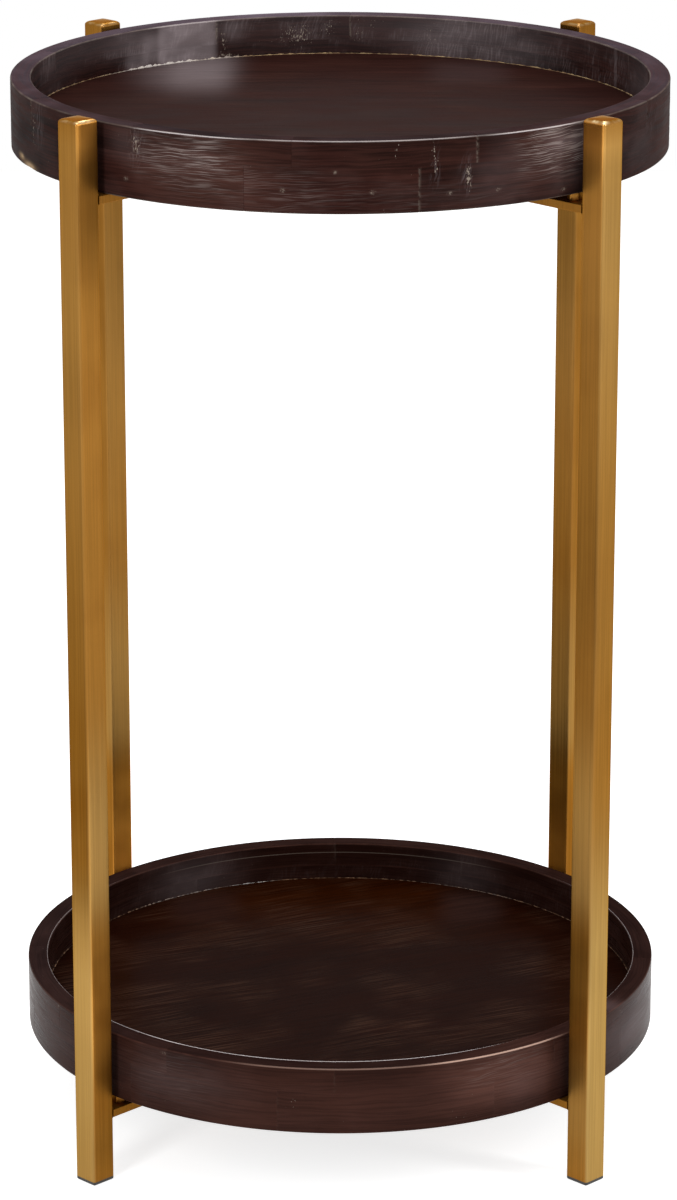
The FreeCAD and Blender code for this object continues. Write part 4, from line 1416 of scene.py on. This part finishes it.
# %% Tree: weld bead
graph, given, result = new_group("weld_bead", "GeometryNodeTree", {
    "Geometry": (GEOMETRY, None), "Length": (FLOAT, 14 * MM), "Bead radius": (FLOAT, 1.7 * MM),
    "Ripple pitch": (FLOAT, 1.3 * MM), "Ripple share": (FLOAT, 0.09), "Material": (MATERIAL, None),
}, {"Geometry": GEOMETRY})
weld_bead = graph.tree
half = given["Length"] * 0.5
line = graph.add("GeometryNodeCurvePrimitiveLine",
                 {"Start": graph.vector(y=half * -1.0), "End": graph.vector(y=half)})[0]
line = graph.add("GeometryNodeResampleCurve", {"Curve": line, "Count": 56})[0]
nothing, along, nothing = graph.parts(graph.add("GeometryNodeInputPosition")[0])
wave = graph.maths("FRACT", along / given["Ripple pitch"] + 20.0)
ripple = given["Ripple share"] * (wave - 0.5) + 1.0
taper = graph.remap(half - abs(along), 0.0, 1.6 * MM, 0.45, 1.0)
profile = graph.add("GeometryNodeCurvePrimitiveCircle", {"Resolution": 16, "Radius": 1.0})["Curve"]
bead = graph.add("GeometryNodeCurveToMesh", {
    "Curve": line, "Profile Curve": profile, "Scale": ripple * taper * given["Bead radius"],
    "Fill Caps": True})[0]
rotation = named(graph, "turn", "FLOAT_VECTOR")
realized(graph, copies(graph, given["Geometry"], bead, Rotation=rotation), given, result)

# %% The welds of the two frames
FRAME_AZIMUTH = {"outer": math.radians(45), "inner": math.radians(135)}
LEG_GAP = 5.5 * MM
bar_end = tray_radius + LEG_GAP


def placed_points(name, spots):
    """A carrier: one point for each (position, turn about Z)."""
    mesh = bpy.data.meshes.new(name)
    mesh.from_pydata([position for position, turn in spots], [], [])
    turns = [number for position, turn in spots for number in (0.0, 0.0, turn)]
    mesh.attributes.new("turn", "FLOAT_VECTOR", "POINT").data.foreach_set("vector", turns)
    return new_object(name, mesh)


def both_ends(distance, height, azimuth):
    """The places at both ends of a bar, with the way that each looks."""
    return [((distance * math.cos(turn), distance * math.sin(turn), height), turn)
            for turn in (azimuth, azimuth + math.pi)]


for which, azimuth in FRAME_AZIMUTH.items():
    spots = []
    for bar in (f"{which}_frame_{tier}_bar" for tier in TIERS):
        spots += both_ends(bar_end, low(bar), azimuth) + both_ends(bar_end, high(bar), azimuth)
    name = which + "_frame_weld_beads"
    beads = grown(name, placed_points(name + "_points", spots), weld_bead, {"Material": frame_gold})
    on_body(beads, "gold_paint", which + "_frame_welds")

# %% [markdown]
# ## Screws, spacers and nuts
# The same countersunk screw sits under all four ends of a tray's bars, and a larger one where
# two bars cross. A screw is turned like a floor, apart from the cross in its head, which is
# pressed in afterwards: the head's face is filled between the rim and a cross outline, and
# the cross is pushed down to a smaller floor. Geometry Nodes then put copies on the points.

# %% Helper: a countersunk screw
SCREW_SEGMENTS = 24
HEAD_EASE = 0.15 * MM
TIP_EASE = 0.2 * MM
SHARP_METAL = 30
# as shares of the head's radius and height: the cross's arm, half width and depth; then how
# much of the arm and of the width is left at its floor
CROSS_ARM, CROSS_WIDTH, CROSS_DEPTH = 0.62, 0.12, 0.6
FLOOR_ARM, FLOOR_WIDTH = 0.55, 0.8


def cross(work, arm, width, height):
    """Twelve vertices of a plus sign."""
    a, w = arm, width
    flat = [(a, -w), (a, w), (w, w), (w, a), (-w, a), (-w, w), (-a, w), (-a, -w), (-w, -w),
            (-w, -a), (w, -a), (w, -w)]
    return [work.verts.new((x, y, height)) for x, y in flat]


def countersunk_screw(radius, head_radius, head_height, length, tip):
    """A screw that points up with its head's face at z = 0."""
    work = bmesh.new()
    body = [(head_radius - HEAD_EASE, 0), (head_radius, HEAD_EASE), (radius, head_height),
            (radius, length - tip), (0.25 * radius, length - TIP_EASE)]
    rings = [circle(work, r, z, SCREW_SEGMENTS) for r, z in body]
    for here, there in zip(rings, rings[1:]):
        bridge(work, here, there)
    work.faces.new(rings[-1])
    arm, width = CROSS_ARM * head_radius, CROSS_WIDTH * head_radius
    mouth = cross(work, arm, width, 0)
    pit = cross(work, arm * FLOOR_ARM, width * FLOOR_WIDTH, CROSS_DEPTH * head_height)
    pairs = [pair for loop in (rings[0], mouth) for pair in zip(loop, loop[1:] + loop[:1])]
    edges = [work.edges.get(pair) or work.edges.new(pair) for pair in pairs]
    bmesh.ops.triangle_fill(work, edges=edges, use_beauty=True)
    bridge(work, mouth, pit)
    work.faces.new(pit)
    return built("screw", work)


# %% Helper: a hexagonal nut or spacer
HEX_SEGMENTS = 48
HEX_POINT = 0.155
CHAMFER_SHARE = 0.07
CHAMFER_DEPTH = 0.1 * MM


def hex_ring(work, across_flats, shrink, height, roundness):
    """A hexagon of vertices, its corners cut back where it is chamfered."""
    points = []
    for angle in (2 * math.pi * k / HEX_SEGMENTS for k in range(HEX_SEGMENTS)):
        facet = (angle + math.pi / 6) % (math.pi / 3) - math.pi / 6
        flat = across_flats / 2 / math.cos(facet)
        reach = min(flat, across_flats / 2 * (1 + HEX_POINT * (1 - roundness))) - shrink
        points.append(work.verts.new((reach * math.cos(angle), reach * math.sin(angle), height)))
    return points


def hex_sleeve(across_flats, height, bore):
    """A hexagonal sleeve or nut with its outer corners chamfered and its bore open."""
    work = bmesh.new()
    chamfer = CHAMFER_SHARE * across_flats
    heights = ((CHAMFER_DEPTH, 0, 0.9), (0, chamfer, 0), (0, height - chamfer, 0),
               (CHAMFER_DEPTH, height, 0.9))
    outside = [hex_ring(work, across_flats, *each) for each in heights]
    rings = [circle(work, bore, 0, HEX_SEGMENTS), *outside, circle(work, bore, height, HEX_SEGMENTS)]
    for here, there in zip(rings, rings[1:] + rings[:1]):
        bridge(work, here, there)
    return built("sleeve", work)


# %% Tree: copies on points
graph, given, result = new_group("copies_on_points", "GeometryNodeTree", {
    "Geometry": (GEOMETRY, None), "Part": (OBJECT, None), "Material": (MATERIAL, None),
}, {"Geometry": GEOMETRY})
copies_on_points = graph.tree
part = graph.add("GeometryNodeObjectInfo", {"Object": given["Part"]})["Geometry"]
rotation = named(graph, "turn", "FLOAT_VECTOR")
realized(graph, copies(graph, given["Geometry"], part, Rotation=rotation), given, result)


def repeated(name, node, part, spots, material, slot):
    """One piece made of copies of a part, which stands for a node."""
    piece = grown(name, placed_points(name + "_points", spots), copies_on_points,
                  {"Part": part, "Material": material})
    bpy.data.objects.remove(part)
    on_body(sharpen(piece, SHARP_METAL), slot, node)


# %% [markdown]
# The screws' lengths come from the frame: a short one goes through the upper bar of a
# crossing pair, and a long one through the lower bar and its spacer. Every screw is turned
# by a different angle, because nobody stops a screwdriver at the same place twice.

# %% Place the screws, spacers and nuts
# radius, head's radius, head's height
TRAY_SCREW = (2 * MM, 3.9 * MM, 2.4 * MM)
CENTRE_SCREW = (2.5 * MM, 4.8 * MM, 2.8 * MM)
TRAY_TIP, CENTRE_TIP = 3 * MM, 0.3 * MM
HEX_SIZE = 8 * MM
BORE_PLAY = 0.1 * MM
screw_circle = tray_radius - rim_wall / 2
UPPER_BAR = {"top": "outer", "bottom": "inner"}
LOWER_BAR = {"top": "inner", "bottom": "outer"}
dice = random.Random(5)


def driven(node, size, tip, places):
    """Screws of one size, each stopped at an angle of its own."""
    screw = countersunk_screw(*size, high(node) - low(node), tip)
    spots = [(place, dice.uniform(0, math.pi)) for place, turn in places]
    repeated(node + "_driven", node, screw, spots, zinc, "zinc_screws")


for tier in TIERS:
    for length, bars in (("short", UPPER_BAR), ("long", LOWER_BAR)):
        node = f"{tier}_tray_screws_{length}"
        ends = both_ends(screw_circle, low(node), FRAME_AZIMUTH[bars[tier]])
        driven(node, TRAY_SCREW, TRAY_TIP, ends)
    node = tier + "_centre_screw"
    driven(node, CENTRE_SCREW, CENTRE_TIP, [((0, 0, low(node)), 0.0)])
    node = tier + "_centre_nut"
    nut = hex_sleeve(HEX_SIZE, high(node) - low(node), CENTRE_SCREW[0] + BORE_PLAY)
    repeated(node + "_hex", node, nut, [((0, 0, low(node)), 0.0)], zinc, "zinc_screws")
    node = tier + "_tray_spacers"
    spacer = hex_sleeve(HEX_SIZE, high(node) - low(node), TRAY_SCREW[0] + BORE_PLAY)
    spots = both_ends(screw_circle, low(node), FRAME_AZIMUTH[LOWER_BAR[tier]])
    repeated(node + "_hex", node, spacer, spots, frame_gold, "gold_paint")

# %% [markdown]
# ## Floor, light and background
# The table stands in a white studio. The background is white because the world says so to
# the rays that look at it: camera, glossy and transmission rays see full white, and only the
# diffuse rays, which carry light onto the table, get a lower level. Two tall soft boxes, left
# and right of the camera, make the long highlights on the rims and legs. A wide one above
# fills the trays, and a weak one behind keeps the back from going flat.

# %% World
WORLD_LEVEL = 0.5
WHITE = (1, 1, 1, 1)


def looking(graph):
    """1 for the rays that look at a thing, 0 for those that carry light onto others."""
    ray = graph.add("ShaderNodeLightPath")
    return graph.largest(ray["Is Camera Ray"], ray["Is Glossy Ray"], ray["Is Transmission Ray"])


world = bpy.data.worlds.new("white_studio")
world.use_nodes = True
bpy.context.scene.world = world
graph = Graph(world.node_tree)
level = graph.remap(looking(graph), 0.0, 1.0, WORLD_LEVEL, 1.0)
graph.feed(world.node_tree.nodes["Background"], {"Color": WHITE, "Strength": level})
print("world level for diffuse light:", WORLD_LEVEL)

# %% Soft boxes
AIM = Vector((0, 0, 0.4))
# name: azimuth (0 in front, 90 on the right), distance, height, width, tall, watts
SOFT_BOXES = {"soft_box_left": (-32, 1.9, 1.1, 0.42, 1.3, 13),
              "soft_box_right": (66, 1.9, 1.1, 0.34, 1.3, 13),
              "soft_box_above": (0, 0.3, 2.3, 1.6, 1.2, 20),
              "soft_box_back": (165, 1.5, 2.4, 0.9, 0.6, 7)}
for name, (azimuth, distance, height, width, tall, watts) in SOFT_BOXES.items():
    lamp = bpy.data.lights.new(name, "AREA")
    lamp.shape, lamp.size, lamp.size_y, lamp.energy = "RECTANGLE", width, tall, watts
    box = new_object(name, lamp)
    turn = math.radians(azimuth)
    box.location = (distance * math.sin(turn), -distance * math.cos(turn), height)
    box.rotation_euler = (AIM - box.location).to_track_quat("-Z", "Y").to_euler()
    print(name, "at", [round(v, 2) for v in box.location], watts, "W")

# %% [markdown]
# The studio's floor is pale and matt, so it keeps the table's shadow. On its own it would end
# in a grey edge against the white world, so it also glows a little to the rays that look.

# %% The studio floor
FLOOR_HALF = 2.6
FLOOR_WHITE = 0.82
FLOOR_GLOW = 0.74
FLOOR_DROP = 0.0002

mesh = bpy.data.meshes.new("studio_floor")
square = [(-1, -1), (1, -1), (1, 1), (-1, 1)]
mesh.from_pydata([(x * FLOOR_HALF, y * FLOOR_HALF, 0) for x, y in square], [], [(0, 1, 2, 3)])
floor = new_object("studio_floor", mesh)
floor.location.z = -FLOOR_DROP
material, graph, skin = new_material("studio_floor_white")
graph.tree.nodes.clear()
matt = graph.add("ShaderNodeBsdfDiffuse", {"Color": (FLOOR_WHITE, FLOOR_WHITE, FLOOR_WHITE, 1)})[0]
glow = graph.add("ShaderNodeEmission", {"Color": WHITE, "Strength": looking(graph) * FLOOR_GLOW})[0]
both = graph.add("ShaderNodeAddShader", {0: matt, 1: glow})[0]
graph.add("ShaderNodeOutputMaterial", {"Surface": both})
mesh.materials.append(material)
print("floor", FLOOR_HALF * 2, "m wide")

# %% [markdown]
# ## Camera
# A long lens looks down from half a metre above the upper tray. The table stands in the
# middle of the frame, and nothing is shifted or out of focus.

# %% Camera
CAMERA_PLACE = (-0.00100, -2.70450, 1.16836)
CAMERA_TILT = 72.425

camera = bpy.data.cameras.new("camera")
camera.sensor_width, camera.lens = 36.0, 142.25
stand = new_object("camera", camera)
stand.location = CAMERA_PLACE
stand.rotation_euler = (math.radians(CAMERA_TILT), 0, 0)
bpy.context.scene.camera = stand
bpy.context.scene.view_settings.view_transform = "Standard"
print("camera", camera.lens, "mm at", tuple(stand.location))
